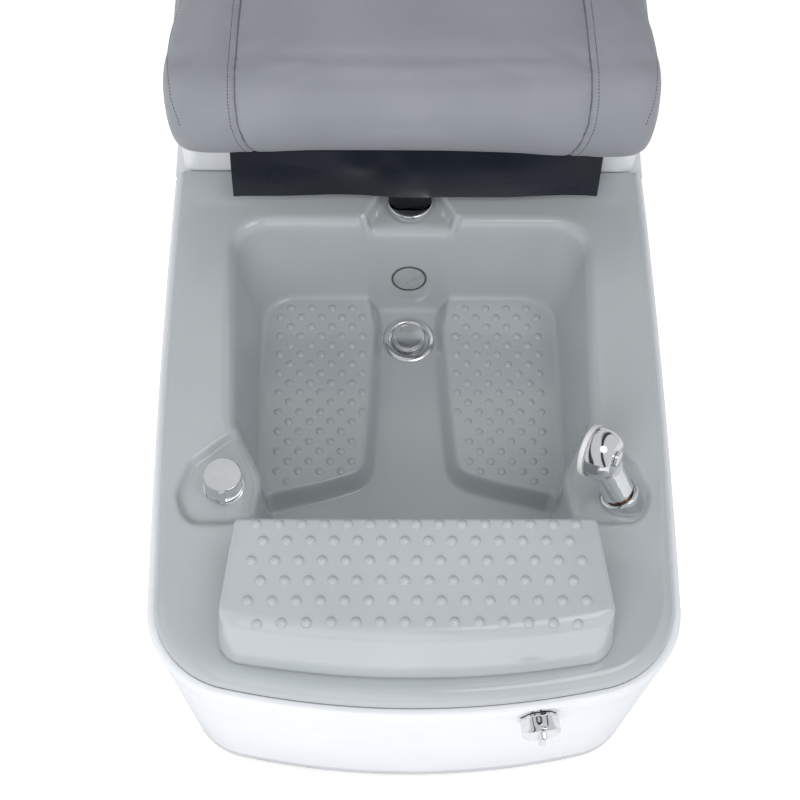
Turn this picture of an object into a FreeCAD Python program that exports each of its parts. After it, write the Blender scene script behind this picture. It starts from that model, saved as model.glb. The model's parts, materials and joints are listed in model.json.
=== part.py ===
import FreeCAD, Part
import math
import os

# Pedicure bench: a foot basin in a white housing, with an upholstered seat that slides behind it.
# Millimetres, +Z up, +Y towards the seat, origin at the middle of the footprint on the floor.
# Stations are distances along Y from the front of the housing rim; the whole bench is centred at the end.

Vec = FreeCAD.Vector
up = Vec(0, 0, 1)
down = Vec(0, 0, -1)
rearward = Vec(0, 1, 0)
forward = Vec(0, -1, 0)
sideways = Vec(1, 0, 0)
leftward = Vec(-1, 0, 0)

# Driving dimensions of the whole bench
deck_height = 350.0
rim_half_width = 333.0
rim_width = 10.0
seat_wall_station = 800.0
seat_box_length = 480.0
seat_box_height = 440.0
seat_board_gap = 22.0
board_thickness = 18.0
seat_cushion_thickness = 102.0
seat_travel_forward = 80.0
seat_travel_back = 45.0
back_height = 515.0
board_height = seat_box_height + seat_board_gap
seat_height = board_height + board_thickness + seat_cushion_thickness

# Walls and clearances that several pieces share
basin_wall = 6.0
shell_wall = 5.0
slide_clearance = 0.4
turn_clearance = 0.05
soft_clearance = 0.6
cut_overrun = 10.0
seal_height = 2.0
bolt_radius = 3.0
half_share = 0.5
edge_tolerance = 0.01

# Plan outline of the housing rim: a bowed front, round corners and slightly bowed sides
front_radius = 1060.0
corner_radius = 122.0
side_bow = 5.0
side_bow_station_share = 0.5
rear_corner_radius = 24.0

# Housing skirt
skirt_bottom = 22.0
skirt_taper = 36.0
basin_lip_drop = 20.0
rim_ledge_width = 26.0

# Foot bowl: corners at the rim and at the floor, each as distance from the rim's side, station and radius
bowl_depth = 175.0
bowl_rim_margins = [(91.0, 708.0, 40.0), (101.0, 398.0, 60.0), (142.0, 318.0, 50.0), (126.0, 228.0, 30.0)]
bowl_base_margins = [(130.0, 681.0, 50.0), (130.0, 404.0, 60.0), (147.0, 332.0, 50.0), (153.0, 258.0, 40.0)]
bowl_rim = [(rim_half_width - margin, station, radius) for margin, station, radius in bowl_rim_margins]
bowl_base = [(rim_half_width - margin, station, radius) for margin, station, radius in bowl_base_margins]
rim_round = 16.0
floor_round = 9.0
floor_split_rise = 1.5
round_steps = 3

# Foot pads moulded into the bowl floor
pad_height = 27.0
pad_side_margin = 136.0
pad_side = rim_half_width - pad_side_margin
pad_outline = [(pad_side, 679.0, 34.0), (pad_side, 368.0, 30.0), (53.0, 402.0, 40.0), (45.0, 520.0, 90.0),
               (42.0, 679.0, 30.0)]
pad_edge_round = 8.0
pad_pocket_share = 0.8
pad_bump_radius = 5.5
pad_bump_height = 2.2
pad_bump_pitch = 29.0
pad_bump_row_pitch = 15.5
pad_bump_edge = 20.0

# Spillway notch behind the bowl and the round spout in it
notch_depth = 20.0
notch_inset = 8.0
notch_back_inset = 4.0
notch_plan = [(70.5, 700.0), (43.0, 755.0), (32.0, 791.0)]
spout_station = 751.0
spout_radius = 31.5

# Sunk ears for the mixer knob and the hand sprayer
ear_depth = 10.0
ear_round = 6.0
ear_margins = [(127.0, 404.0, 12.0), (48.0, 336.0, 30.0), (31.0, 290.0, 40.0), (47.0, 249.0, 26.0),
               (97.0, 249.0, 30.0), (137.0, 268.0, 12.0), (151.0, 330.0, 12.0)]
ear_outline = [(rim_half_width - margin, station, radius) for margin, station, radius in ear_margins]
mixer_margin = 92.0
sprayer_margin = 68.0
mixer_place = (mixer_margin - rim_half_width, 305.0)
sprayer_place = (rim_half_width - sprayer_margin, 288.0)
sprayer_tilt = 27.0
sprayer_heading = 152.0

# Drain, light and drain control
drain_station = 629.0
light_height_below_deck = 110.0
drain_knob_offset = 150.0
drain_knob_height = 297.0


# Small shape helpers

def box(x_low, x_high, y_low, y_high, z_low, z_high):
    return Part.makeBox(x_high - x_low, y_high - y_low, z_high - z_low, Vec(x_low, y_low, z_low))


def rod(radius, start, direction, length):
    return Part.makeCylinder(radius, length, start, direction)


def ring(outer, inner, start, direction, length):
    return rod(outer, start, direction, length).cut(rod(inner, start, direction, length))


def arc(first, middle, last):
    return Part.Arc(first, middle, last).toShape()


def turned(points, start, direction):
    """A solid of revolution from (radius, height) points, stood at start along direction."""
    corners = [Vec(radius, 0, height) for radius, height in points]
    face = Part.Face(Part.makePolygon(corners + [corners[0]]))
    solid = face.revolve(Vec(0, 0, 0), up, 360)
    return placed(solid, start, direction)


def placed(shape, start, direction):
    """A copy of a shape made about +Z at the origin, stood at start along direction."""
    copy = shape.copy()
    copy.Placement = FreeCAD.Placement(start, FreeCAD.Rotation(up, direction)).multiply(shape.Placement)
    return copy


def loop(corners, level):
    """A closed wire of straight runs with a round arc at each (x, y, radius) corner."""
    points = [Vec(x, y, level) for x, y, radius in corners]
    edges = []
    starts = []
    ends = []
    count = len(points)
    for index in range(count):
        here = points[index]
        before = (points[index - 1] - here).normalize()
        after = (points[(index + 1) % count] - here).normalize()
        half_angle = before.getAngle(after) / 2
        reach = corners[index][2] / math.tan(half_angle)
        inward = (before + after).normalize()
        depth = corners[index][2] / math.sin(half_angle) - corners[index][2]
        starts.append(here + before * reach)
        ends.append(here + after * reach)
        edges.append(arc(starts[index], here + inward * depth, ends[index]))
    runs = [Part.makeLine(ends[index], starts[(index + 1) % count]) for index in range(count)]
    ordered = [edge for pair in zip(edges, runs) for edge in pair]
    return Part.Wire(ordered)


def mirrored(shape):
    return shape.mirror(Vec(0, 0, 0), sideways)


def prism(wire, height):
    return Part.Face(wire).extrude(Vec(0, 0, height))


def fused(shapes):
    return shapes[0].multiFuse(shapes[1:]).removeSplitter() if len(shapes) > 1 else shapes[0]


def level_edges(solid, level):
    """Edges that lie flat at one height, for rounding a top or a bottom rim."""
    return [edge for edge in solid.Edges
            if abs(edge.BoundBox.ZMin - level) < edge_tolerance
            and abs(edge.BoundBox.ZMax - level) < edge_tolerance]


def upright_edges(solid):
    return [edge for edge in solid.Edges
            if edge.BoundBox.XLength < edge_tolerance and edge.BoundBox.YLength < edge_tolerance]


# Plan outline of the housing and of all that follows it

def rim_outline(inset, level, rear_station):
    """The D-shaped plan outline, drawn in by inset, closed straight across at rear_station."""
    radius_front = front_radius - inset
    radius_corner = corner_radius - inset
    centre_x = rim_half_width - side_bow * half_share - corner_radius
    centre_y = front_radius - math.sqrt((front_radius - corner_radius) ** 2 - centre_x ** 2)
    lean = math.asin(centre_x / (front_radius - corner_radius))
    turn = (math.pi / 2 - lean) / 2
    tangent = Vec(radius_front * math.sin(lean), front_radius - radius_front * math.cos(lean), level)
    middle = Vec(centre_x + radius_corner * math.sin(lean + turn),
                 centre_y - radius_corner * math.cos(lean + turn),
                 level)
    side_start = Vec(centre_x + radius_corner, centre_y, level)
    side_middle = Vec(rim_half_width - inset, (centre_y + seat_wall_station) * side_bow_station_share, level)
    side_end = Vec(rim_half_width - side_bow - inset, rear_station, level)
    front_middle = Vec(0, inset, level)

    def flip(point):
        return Vec(-point.x, point.y, point.z)

    return Part.Wire([
        Part.makeLine(flip(side_end), side_end),
        arc(side_end, side_middle, side_start),
        arc(side_start, middle, tangent),
        arc(tangent, front_middle, flip(tangent)),
        arc(flip(tangent), flip(middle), flip(side_start)),
        arc(flip(side_start), flip(side_middle), flip(side_end))])


rim_height = deck_height - basin_lip_drop
housing_top = rim_height - seal_height


def housing_shell():
    """Tapered white skirt with a ledge at its top that carries the basin's lip."""
    rear = seat_wall_station
    outer = Part.makeLoft([rim_outline(skirt_taper, skirt_bottom, rear), rim_outline(0, housing_top, rear)],
                          True, True)
    inner = Part.makeLoft([rim_outline(skirt_taper + shell_wall, skirt_bottom, rear + cut_overrun),
                           rim_outline(shell_wall, housing_top - shell_wall, rear + cut_overrun)], True,
                           True)
    mouth = prism(rim_outline(rim_ledge_width, housing_top - cut_overrun, rear + cut_overrun),
                  cut_overrun * 2)
    shell = outer.cut(inner).cut(mouth)
    knob_bore = rod(bushing_radius + slide_clearance, knob_seat() - knob_axis() * cut_overrun, knob_axis(),
                    cut_overrun * 2)
    return shell.cut(knob_bore)


def basin_seal():
    """Soft strip between the housing's ledge and the basin's lip."""
    rear = seat_wall_station
    outer = prism(rim_outline(rim_width, housing_top, rear), seal_height)
    inner = prism(rim_outline(rim_width + basin_wall, housing_top, rear + basin_wall), seal_height)
    return outer.cut(inner)


# Seat box: the white box that the seat slides on, with its wall rising behind the deck
seat_box_upper_inset = 11.0
seat_box_lip = 34.0
panel_width = 300.0
panel_height = 210.0
panel_base = 150.0
panel_thickness = 3.0
panel_lap = 14.0
panel_screw_radius = 5.0
panel_screw_height = 2.5
seat_box_rear = seat_wall_station + seat_box_length


def seat_box():
    half_low = rim_half_width - side_bow - skirt_taper
    half_rim = rim_half_width - side_bow
    half_top = half_rim - seat_box_upper_inset
    front = seat_wall_station
    rear = seat_box_rear
    gap = rear_corner_radius

    def low_loop(half, level, wall):
        start = front - (cut_overrun if wall else 0)
        corners = [(half - wall, start, wall + shell_wall), (half - wall, rear - wall, gap),
                   (-half + wall, rear - wall, gap), (-half + wall, start, wall + shell_wall)]
        return loop(corners, level)

    def high_loop(wall, level):
        corners = [(half_top - wall, front + wall, gap), (half_top - wall, rear - wall, gap),
                   (-half_top + wall, rear - wall, gap), (-half_top + wall, front + wall, gap)]
        return loop(corners, level)

    lower = Part.makeLoft([low_loop(half_low, skirt_bottom, 0), low_loop(half_rim, housing_top, 0)], True,
                          True)
    upper = prism(high_loop(0, housing_top), seat_box_height - housing_top)
    body = lower.fuse(upper).removeSplitter()
    hollow_low = Part.makeLoft([low_loop(half_low, skirt_bottom, shell_wall),
                                low_loop(half_rim, housing_top - shell_wall, shell_wall)], True, True)
    hollow_base = housing_top - cut_overrun
    hollow_high = prism(high_loop(shell_wall, hollow_base), seat_box_height - shell_wall - hollow_base)
    mouth = prism(high_loop(seat_box_lip, seat_box_height - cut_overrun), cut_overrun * 2)
    service = box(-panel_width * half_share, panel_width * half_share, rear - shell_wall - cut_overrun,
                  rear + cut_overrun,
                  panel_base, panel_base + panel_height)
    shell = body.cut(hollow_low).cut(hollow_high).cut(mouth).cut(service)
    for place in (hot_place(), cold_place()):
        shell = shell.cut(rod(inlet_radius + slide_clearance, place - rearward * cut_overrun, rearward,
                              cut_overrun * 2))
    outlet = Vec(0, rear, outlet_height)
    return shell.cut(rod(outlet_radius + slide_clearance, outlet - rearward * cut_overrun, rearward,
                         cut_overrun * 2))


def access_panel():
    half = panel_width * half_share + panel_lap
    plate = box(-half, half, seat_box_rear, seat_box_rear + panel_thickness, panel_base - panel_lap,
                panel_base + panel_height + panel_lap)
    corners = [e for e in plate.Edges if e.BoundBox.YLength > panel_thickness * half_share]
    return plate.makeFillet(panel_lap * half_share, corners)


def access_panel_screws():
    reach = panel_width * half_share + panel_lap * half_share
    heads = []
    for x in (-reach, reach):
        for z in (panel_base - panel_lap * half_share, panel_base + panel_height + panel_lap * half_share):
            profile = [(0, 0), (panel_screw_radius, 0), (panel_screw_radius * half_share,
                                                         panel_screw_height),
                       (0, panel_screw_height)]
            heads.append(turned(profile, Vec(x, seat_box_rear + panel_thickness, z), rearward))
    return Part.makeCompound(heads)


# Welded floor frame of square tube, its posts carrying the seat rails
tube_size = 30.0
tube_wall = 2.0
frame_base = 32.0
frame_side_gap = 71.0
frame_half_width = rim_half_width - frame_side_gap
frame_front = 110.0
frame_rear_gap = 20.0
frame_rear = seat_box_rear - frame_rear_gap
frame_cross_station = 560.0
rail_half_spacing = 200.0
slide_stack = 64.0
rail_height = board_height - slide_stack
post_front_gap = 60.0
post_front = seat_wall_station + post_front_gap
post_rear_gap = 50.0
post_rear = seat_box_rear - post_rear_gap
foot_radius = 24.0
foot_thickness = 14.0
foot_stem_radius = 5.0
bearer_height = 60.0
bearer_station = 740.0


def square_tube(x, y, z, length, direction):
    """A length of square tube from a corner, along X, Y or Z."""
    bore = tube_size - tube_wall * 2
    size = Vec(tube_size, tube_size, tube_size)
    core = Vec(bore, bore, bore)
    start = Vec(tube_wall, tube_wall, tube_wall)
    for axis, unit in (("x", sideways), ("y", rearward), ("z", up)):
        if direction == unit:
            setattr(size, axis, length)
            setattr(core, axis, length)
            setattr(start, axis, 0)
    corner = Vec(x, y, z)
    outer = Part.makeBox(size.x, size.y, size.z, corner)
    return outer.cut(Part.makeBox(core.x, core.y, core.z, corner + start))


def floor_frame():
    inside = frame_half_width - tube_size
    length = frame_rear - frame_front
    parts = []
    for x in (-frame_half_width, inside):
        parts.append(square_tube(x, frame_front, frame_base, length, rearward))
    for y in (frame_front, frame_cross_station, frame_rear - tube_size):
        parts.append(square_tube(-inside, y, frame_base, inside * 2, sideways))
    post_base = frame_base + tube_size
    rail_tube = rail_height - tube_size
    for x in (-frame_half_width, inside):
        for y in (post_front, post_rear - tube_size):
            parts.append(square_tube(x, y, post_base, rail_height - post_base, up))
    for y in (post_front, post_rear - tube_size):
        parts.append(square_tube(-inside, y, rail_tube, inside * 2, sideways))
    for y in (frame_front, bearer_station):
        for side in (-1, 1):
            x = side * (frame_half_width - tube_size * half_share) - tube_size * half_share
            top = deck_height - bowl_depth - basin_wall
            parts.append(square_tube(x, y, post_base, top - post_base, up))
    return fused(parts)


def foot_places():
    x = frame_half_width - tube_size * half_share
    stations = (frame_front + tube_size, frame_cross_station + tube_size * half_share,
                frame_rear - tube_size)
    return [Vec(side * x, y, 0) for side in (-1, 1) for y in stations]


def levelling_feet():
    stem = frame_base - foot_thickness
    feet = []
    for place in foot_places():
        pad = rod(foot_radius, place, up, foot_thickness)
        pad = pad.makeChamfer(foot_thickness * half_share * half_share, level_edges(pad, foot_thickness))
        feet.append(pad.fuse(rod(foot_stem_radius, place + up * foot_thickness, up, stem)))
    return Part.makeCompound(feet)


# Foot basin: deck, bowl, pads, spillway notch and ears in one moulding
deck_edge_round = 12.0
mixer_shank_radius = 12.0
collar_shank_radius = 19.0
spout_shank_radius = 11.0
drain_shank_radius = 22.5
light_shank_radius = 20.0


def bowl_level(share, grow, level):
    """One level outline of the bowl, share of the way from rim to floor, grown outwards."""
    corners = []
    for (x0, y0, r0), (x1, y1, r1) in zip(bowl_rim, bowl_base):
        x = x0 + (x1 - x0) * share
        y = y0 + (y1 - y0) * share
        corners.append([x, y, r0 + (r1 - r0) * share])
    rear, waist, ear, front = corners
    rear_grown = (rear[0] + grow, rear[1] + grow, rear[2] + grow)
    waist_grown = (waist[0] + grow, waist[1], waist[2])
    ear_grown = (ear[0] + grow, ear[1], max(ear[2] - grow, basin_wall))
    front_grown = (front[0] + grow, front[1] - grow, front[2] + grow)
    right = [rear_grown, waist_grown, ear_grown, front_grown]
    left = [(-x, y, radius) for x, y, radius in reversed(right)]
    return loop(right + left, level)


def bowl_solid(grow, flared):
    """The space inside the bowl, or its outer body when grown by the wall."""
    floor = deck_height - bowl_depth - grow
    span = bowl_depth + grow
    wires = []
    if flared:
        wires.append(bowl_level(0, rim_round, deck_height + cut_overrun))
        for step in range(round_steps + 1):
            angle = math.pi / 2 * step / round_steps
            drop = rim_round * (1 - math.cos(angle))
            wires.append(bowl_level(drop / span, rim_round * (1 - math.sin(angle)), deck_height - drop))
    else:
        wires.append(bowl_level(0, grow, deck_height - basin_wall * half_share))
    for step in range(round_steps + 1):
        angle = math.pi / 2 * step / round_steps
        rise = floor_round * (1 - math.sin(angle))
        draw = floor_round * (1 - math.cos(angle))
        wires.append(bowl_level(1 - rise / span, grow - draw, floor + rise))
    return Part.makeLoft(wires, True, True)


def pad_bumps():
    """Small domes in a staggered grid on the right pad."""
    radius = (pad_bump_radius ** 2 + pad_bump_height ** 2) / (2 * pad_bump_height)
    top = deck_height - bowl_depth + pad_height
    field = prism(loop(pad_outline, top), pad_height)
    bumps = []
    row = 0
    y = pad_outline[1][1] + pad_bump_edge
    while y < pad_outline[0][1] - pad_bump_edge:
        x = pad_outline[2][0] + pad_bump_edge * half_share + (row % 2) * pad_bump_pitch * half_share
        while x < pad_outline[0][0] - pad_bump_edge:
            spot = Vec(x, y, top + pad_height * half_share)
            if field.isInside(spot, seal_height, False) and edge_distance(field,
                                                                          spot) > pad_bump_edge * half_share:
                ball = Part.makeSphere(radius, Vec(x, y, top + pad_bump_height - radius))
                bumps.append(ball.common(rod(radius, Vec(x, y, top - pad_bump_height * half_share), up,
                                             radius)))
            x += pad_bump_pitch
        y += pad_bump_row_pitch
        row += 1
    return bumps


def edge_distance(field, spot):
    """How far a point inside an upright prism is from its side walls."""
    least = pad_height * half_share
    sides = Part.makeCompound([face for face in field.Faces if face.BoundBox.ZLength > least])
    return sides.distToShape(Part.Vertex(spot))[0]


def foot_pad():
    base = deck_height - bowl_depth - basin_wall * half_share
    top = deck_height - bowl_depth + pad_height
    block = prism(loop(pad_outline, base), top - base)
    block = block.makeFillet(pad_edge_round, level_edges(block, top))
    block = block.common(bowl_solid(basin_wall * half_share, False))
    return block.multiFuse(pad_bumps())


def notch_solid(grow, top):
    """Trapezoid space of the spillway, or its outer body when grown by the wall."""
    floor = deck_height - notch_depth - grow

    def level(inset, back_inset, height):
        front, middle, back = notch_plan
        right = [Vec(front[0] - inset, front[1] - grow, height), Vec(middle[0] - inset, middle[1], height),
                 Vec(back[0] - inset, back[1] - back_inset, height)]
        left = [Vec(-p.x, p.y, p.z) for p in reversed(right)]
        points = right + left
        return Part.makePolygon(points + [points[0]])

    spread = notch_inset * (top - deck_height) / notch_depth
    return Part.makeLoft([level(notch_inset - grow, notch_back_inset - grow, floor),
                          level(-spread - grow, -grow, top)], True, True)


def ear_solid(grow, top):
    """Teardrop sunk platform, or its outer body when grown by the wall."""
    floor = deck_height - ear_depth - grow
    corners = [(x, y, radius) for x, y, radius in ear_outline]
    if grow:
        middle_x = sum(x for x, y, radius in ear_outline) / len(ear_outline)
        middle_y = sum(y for x, y, radius in ear_outline) / len(ear_outline)
        reach = max(math.hypot(x - middle_x, y - middle_y) for x, y, radius in ear_outline)
        scale = (reach + grow) / reach
        corners = [(middle_x + (x - middle_x) * scale, middle_y + (y - middle_y) * scale, radius)
                   for x, y, radius in ear_outline]
    solid = prism(loop(corners, floor), top - floor)
    return solid.makeFillet(ear_round, level_edges(solid, floor))


def whole_basin():
    """The one moulding, which the nodes below take level by level."""
    rear = seat_wall_station
    top = prism(rim_outline(rim_width, rim_height, rear), basin_lip_drop)
    rim_edges = [e for e in level_edges(top, deck_height) if e.BoundBox.YLength > basin_lip_drop]
    top = top.makeFillet(deck_edge_round, rim_edges)
    under = prism(rim_outline(rim_width + basin_wall, rim_height - cut_overrun, rear - basin_wall),
                  basin_lip_drop - basin_wall + cut_overrun)
    under_top = deck_height - basin_wall
    body = fused([top.cut(under), bowl_solid(basin_wall, False), notch_solid(basin_wall, under_top),
                  ear_solid(basin_wall, under_top), mirrored(ear_solid(basin_wall, under_top))])
    body = body.cut(bowl_solid(0, True)).cut(notch_solid(0, deck_height + cut_overrun))
    ear = ear_solid(0, deck_height + cut_overrun)
    body = body.cut(ear).cut(mirrored(ear))
    pad = foot_pad()
    body = fused([body, pad, mirrored(pad)])
    pocket = pad_pocket()
    body = body.cut(pocket).cut(mirrored(pocket))
    for bore in basin_bores():
        body = body.cut(bore)
    return body


moulding = []


def basin_level(low, high):
    """The part of the moulding between two heights."""
    if not moulding:
        moulding.append(whole_basin())
    reach = rim_half_width + cut_overrun
    return moulding[0].common(box(-reach, reach, -cut_overrun, seat_wall_station + cut_overrun, low, high))


def deck_level():
    return deck_height - notch_depth - basin_wall - ear_round


def floor_level():
    return deck_height - bowl_depth + floor_split_rise


def pad_blocks():
    """Upright blocks over the two foot pads, up to the tops of their bumps."""
    top = deck_height - bowl_depth + pad_height + pad_bump_height
    block = prism(loop(pad_outline, floor_level()), top - floor_level())
    return [block, mirrored(block)]


def basin():
    """Deck with its lip, ears and spillway."""
    return basin_level(deck_level(), deck_height + cut_overrun)


def basin_walls():
    """Walls of the bowl, from its floor up to the deck."""
    walls = basin_level(floor_level(), deck_level())
    for block in pad_blocks():
        walls = walls.cut(block)
    return walls


def basin_floor():
    """Floor of the bowl, with its bores."""
    return basin_level(deck_height - bowl_depth - basin_wall - cut_overrun, floor_level())


def foot_pads():
    """The two raised pads with their bumps."""
    layer = basin_level(floor_level(), deck_level())
    return Part.makeCompound([layer.common(block) for block in pad_blocks()])


def pad_pocket():
    """Hollow under a raised pad, so that the moulding keeps one wall thickness."""
    centre_x = sum(x for x, y, radius in pad_outline) / len(pad_outline)
    centre_y = sum(y for x, y, radius in pad_outline) / len(pad_outline)
    corners = [(centre_x + (x - centre_x) * pad_pocket_share, centre_y + (y - centre_y) * pad_pocket_share,
                radius)
               for x, y, radius in pad_outline]
    base = deck_height - bowl_depth - basin_wall - cut_overrun
    return prism(loop(corners, base), cut_overrun + pad_height)


# Places and directions that the fittings share

def sprayer_axis():
    """Unit direction in which the hand sprayer pulls out of its holder."""
    tilt = math.radians(sprayer_tilt)
    heading = math.radians(sprayer_heading)
    return Vec(math.sin(tilt) * math.cos(heading), math.sin(tilt) * math.sin(heading), math.cos(tilt))


def sprayer_seat():
    return Vec(sprayer_place[0], sprayer_place[1], deck_height - ear_depth)


def mixer_seat():
    return Vec(mixer_place[0], mixer_place[1], deck_height - ear_depth)


def knob_axis():
    """Outward normal of the front skirt at the drain knob."""
    turn = math.asin(drain_knob_offset / front_radius)
    dip = math.atan(skirt_taper / (housing_top - skirt_bottom))
    return Vec(math.sin(turn) * math.cos(dip), -math.cos(turn) * math.cos(dip), -math.sin(dip))


def knob_seat():
    """Point on the skirt's outer face that the drain knob's plate lies on."""
    inset = skirt_taper * (housing_top - drain_knob_height) / (housing_top - skirt_bottom)
    station = front_radius - math.sqrt((front_radius - inset) ** 2 - drain_knob_offset ** 2)
    return Vec(drain_knob_offset, station, drain_knob_height)


def light_axis():
    """Normal of the bowl's rear wall, pointing into the bowl."""
    lean = math.atan((bowl_rim[0][1] - bowl_base[0][1]) / bowl_depth)
    return Vec(0, -math.cos(lean), math.sin(lean))


def light_seat():
    share = light_height_below_deck / bowl_depth
    return Vec(0, bowl_rim[0][1] + (bowl_base[0][1] - bowl_rim[0][1]) * share,
               deck_height - light_height_below_deck)


def drain_seat():
    return Vec(0, drain_station, deck_height - bowl_depth)


def spout_seat():
    return Vec(0, spout_station, deck_height - notch_depth)


def basin_bores():
    """Holes in the basin for the shanks of its fittings."""
    deep = basin_wall * 2 + cut_overrun
    holes = []
    places = [(mixer_shank_radius, mixer_seat(), up), (collar_shank_radius, sprayer_seat(), sprayer_axis()),
              (spout_shank_radius, spout_seat(), up), (drain_shank_radius, drain_seat(), up),
              (light_shank_radius, light_seat(), light_axis())]
    for radius, seat, axis in places:
        holes.append(rod(radius + slide_clearance, seat - axis * deep, axis, deep * 2))
    return holes


# Spout: a flat round cap over a short neck, so that water sheets out all round its front
spout_lift = 6.0
spout_cap_height = 11.0
spout_edge_round = 1.5
spout_neck_radius = 15.0
spout_shank_length = 46.0
spout_bore_radius = 6.0
nut_height = 10.0
nut_lap = 8.0


def spout_disc():
    cap = rod(spout_radius, spout_seat() + up * spout_lift, up, spout_cap_height)
    top = deck_height - notch_depth + spout_lift + spout_cap_height
    return cap.makeFillet(spout_edge_round, level_edges(cap, top))


def spout_body():
    seat = spout_seat()
    neck = rod(spout_neck_radius, seat, up, spout_lift)
    shank = rod(spout_shank_radius, seat - up * spout_shank_length, up, spout_shank_length)
    bore = rod(spout_bore_radius, seat - up * spout_shank_length, up, spout_shank_length)
    slot = box(-spout_bore_radius, spout_bore_radius, spout_station - spout_neck_radius * 2, spout_station,
               seat.z + spout_edge_round, seat.z + spout_lift - spout_edge_round)
    return neck.fuse(shank).cut(bore).cut(slot)


def hex_nut(inner, seat, direction):
    """A hexagonal nut below a seat, its bore fitting the shank."""
    outer = inner + nut_lap
    points = [Vec(outer * math.cos(math.pi * k / 3), outer * math.sin(math.pi * k / 3), 0) for k in range(6)]
    solid = Part.Face(Part.makePolygon(points + [points[0]])).extrude(up * nut_height)
    solid = solid.cut(rod(inner + turn_clearance, Vec(0, 0, -nut_height), up, nut_height * 3))
    return placed(solid, seat, direction)


def spout_nut():
    return hex_nut(spout_shank_radius, spout_seat() - up * basin_wall, down)


# Mixer: a knurled round knob with a raised pointer, its plate, valve and nut
knob_radius = 24.0
knob_height = 31.0
knob_lift = 2.5
knob_edge_round = 1.2
knurl_count = 72
knurl_depth = 0.6
pointer_width = 7.0
pointer_reach = 3.0
plate_radius = 26.0
plate_height = 2.0
mixer_spindle_radius = 6.0
mixer_spindle_height = 20.0
mixer_body_radius = 20.0
mixer_body_height = 62.0
mixer_shank_length = 18.0
port_radius = 7.0
port_length = 30.0
port_spacing = 30.0


def knurled(radius, height, count, depth):
    """A round body whose side has fine upright ridges."""
    points = []
    for index in range(count * 2):
        reach = radius - depth * (index % 2)
        angle = math.pi * index / count
        points.append(Vec(reach * math.cos(angle), reach * math.sin(angle), 0))
    return Part.Face(Part.makePolygon(points + [points[0]])).extrude(up * height)


def mixer_knob():
    side = knurled(knob_radius, knob_height - knob_edge_round * 2, knurl_count, knurl_depth)
    cap = rod(knob_radius, up * (knob_height - knob_edge_round * 2), up, knob_edge_round * 2)
    cap = cap.makeFillet(knob_edge_round, level_edges(cap, knob_height))
    pointer = box(-pointer_width * half_share, pointer_width * half_share, -knob_radius - pointer_reach,
                  -knob_radius * half_share, 0, knob_height - knob_edge_round * 2)
    tip_edges = [e for e in upright_edges(pointer) if e.BoundBox.YMax < -knob_radius]
    pointer = pointer.makeFillet(pointer_reach * half_share, tip_edges)
    socket_depth = mixer_spindle_height - knob_lift + slide_clearance
    socket = rod(mixer_spindle_radius + turn_clearance, Vec(0, 0, 0), up, socket_depth)
    solid = fused([side, cap, pointer]).cut(socket)
    return placed(solid, mixer_seat() + up * knob_lift, up)


def mixer_plate():
    return ring(plate_radius, mixer_shank_radius + turn_clearance, mixer_seat(), up, plate_height)


def mixer_body():
    seat = mixer_seat()
    overlap = knob_edge_round
    spindle = rod(mixer_spindle_radius, seat + up * (plate_height - overlap), up,
                  mixer_spindle_height - plate_height + overlap)
    shank = rod(mixer_shank_radius, seat - up * mixer_shank_length, up, mixer_shank_length + plate_height)
    body = rod(mixer_body_radius, seat - up * (mixer_shank_length + mixer_body_height), up,
               mixer_body_height)
    ports = [rod(port_radius, port, direction, port_length) for port, direction in mixer_ports()]
    return fused([spindle, shank, body] + ports)


def mixer_ports():
    """Places and directions of the valve's four hose tails: hot, cold, spout and sprayer."""
    base = mixer_seat() - up * (mixer_shank_length + mixer_body_height)
    low = base + up * (port_spacing * half_share)
    high = low + up * port_spacing
    return [(low, rearward), (high, rearward), (base + up * port_radius * 2, leftward), (low, forward)]


def mixer_nut():
    return hex_nut(mixer_shank_radius, mixer_seat() - up * basin_wall, down)


# Hand sprayer: collar on the ear, handle with a round head, face, trigger and hose stub
collar_radius = 25.5
collar_height = 8.0
collar_bore = 15.5
collar_shank_length = 30.0
handle_length = 96.0
handle_base_radius = 15.2
handle_grip_radius = 20.0
handle_neck_radius = 22.0
handle_gap = 3.0
head_radius = 32.5
head_depth = 30.0
head_height = 82.0
head_shares = [(0.45, -1.0), (0.7, -0.86), (0.88, -0.6), (0.97, -0.25), (1.0, 0.0)]
head_crown_share = 0.9
head_drop = 10.8
face_radius = 31.0
face_depth = 7.0
trigger_radius = 11.0
trigger_depth = 9.0
trigger_travel = 3.0
trigger_set = 24.0
stub_radius = 7.0
stub_length = 96.0
collar_seat_rise = 6.0


def collar_top():
    return sprayer_seat() + sprayer_axis() * (collar_height + collar_seat_rise)


def spray_collar():
    """Round collar cut square to the tilt at its top and level at its foot."""
    axis = sprayer_axis()
    seat = sprayer_seat()
    sleeve = rod(collar_radius, seat - axis * collar_radius, axis,
                 collar_radius + collar_height + collar_seat_rise)
    reach = collar_radius * 3
    under = box(seat.x - reach, seat.x + reach, seat.y - reach, seat.y + reach, seat.z - reach, seat.z)
    sleeve = sleeve.cut(under)
    shank = rod(collar_shank_radius, seat - axis * collar_shank_length, axis,
                collar_shank_length + collar_height)
    bore = rod(collar_bore, seat - axis * collar_radius * 2, axis, collar_radius * 4)
    return fused([sleeve, shank]).cut(bore)


def collar_nut():
    axis = sprayer_axis()
    return hex_nut(collar_shank_radius, sprayer_seat() - axis * (collar_shank_length - nut_height),
                   axis * -1)


def head_centre():
    return collar_top() + sprayer_axis() * head_height


def head_axis():
    """Direction in which the sprayer's face points: inwards and slightly down."""
    heading = math.radians(sprayer_heading)
    drop = math.radians(head_drop)
    return Vec(math.cos(drop) * math.cos(heading), math.cos(drop) * math.sin(heading), -math.sin(drop))


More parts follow.
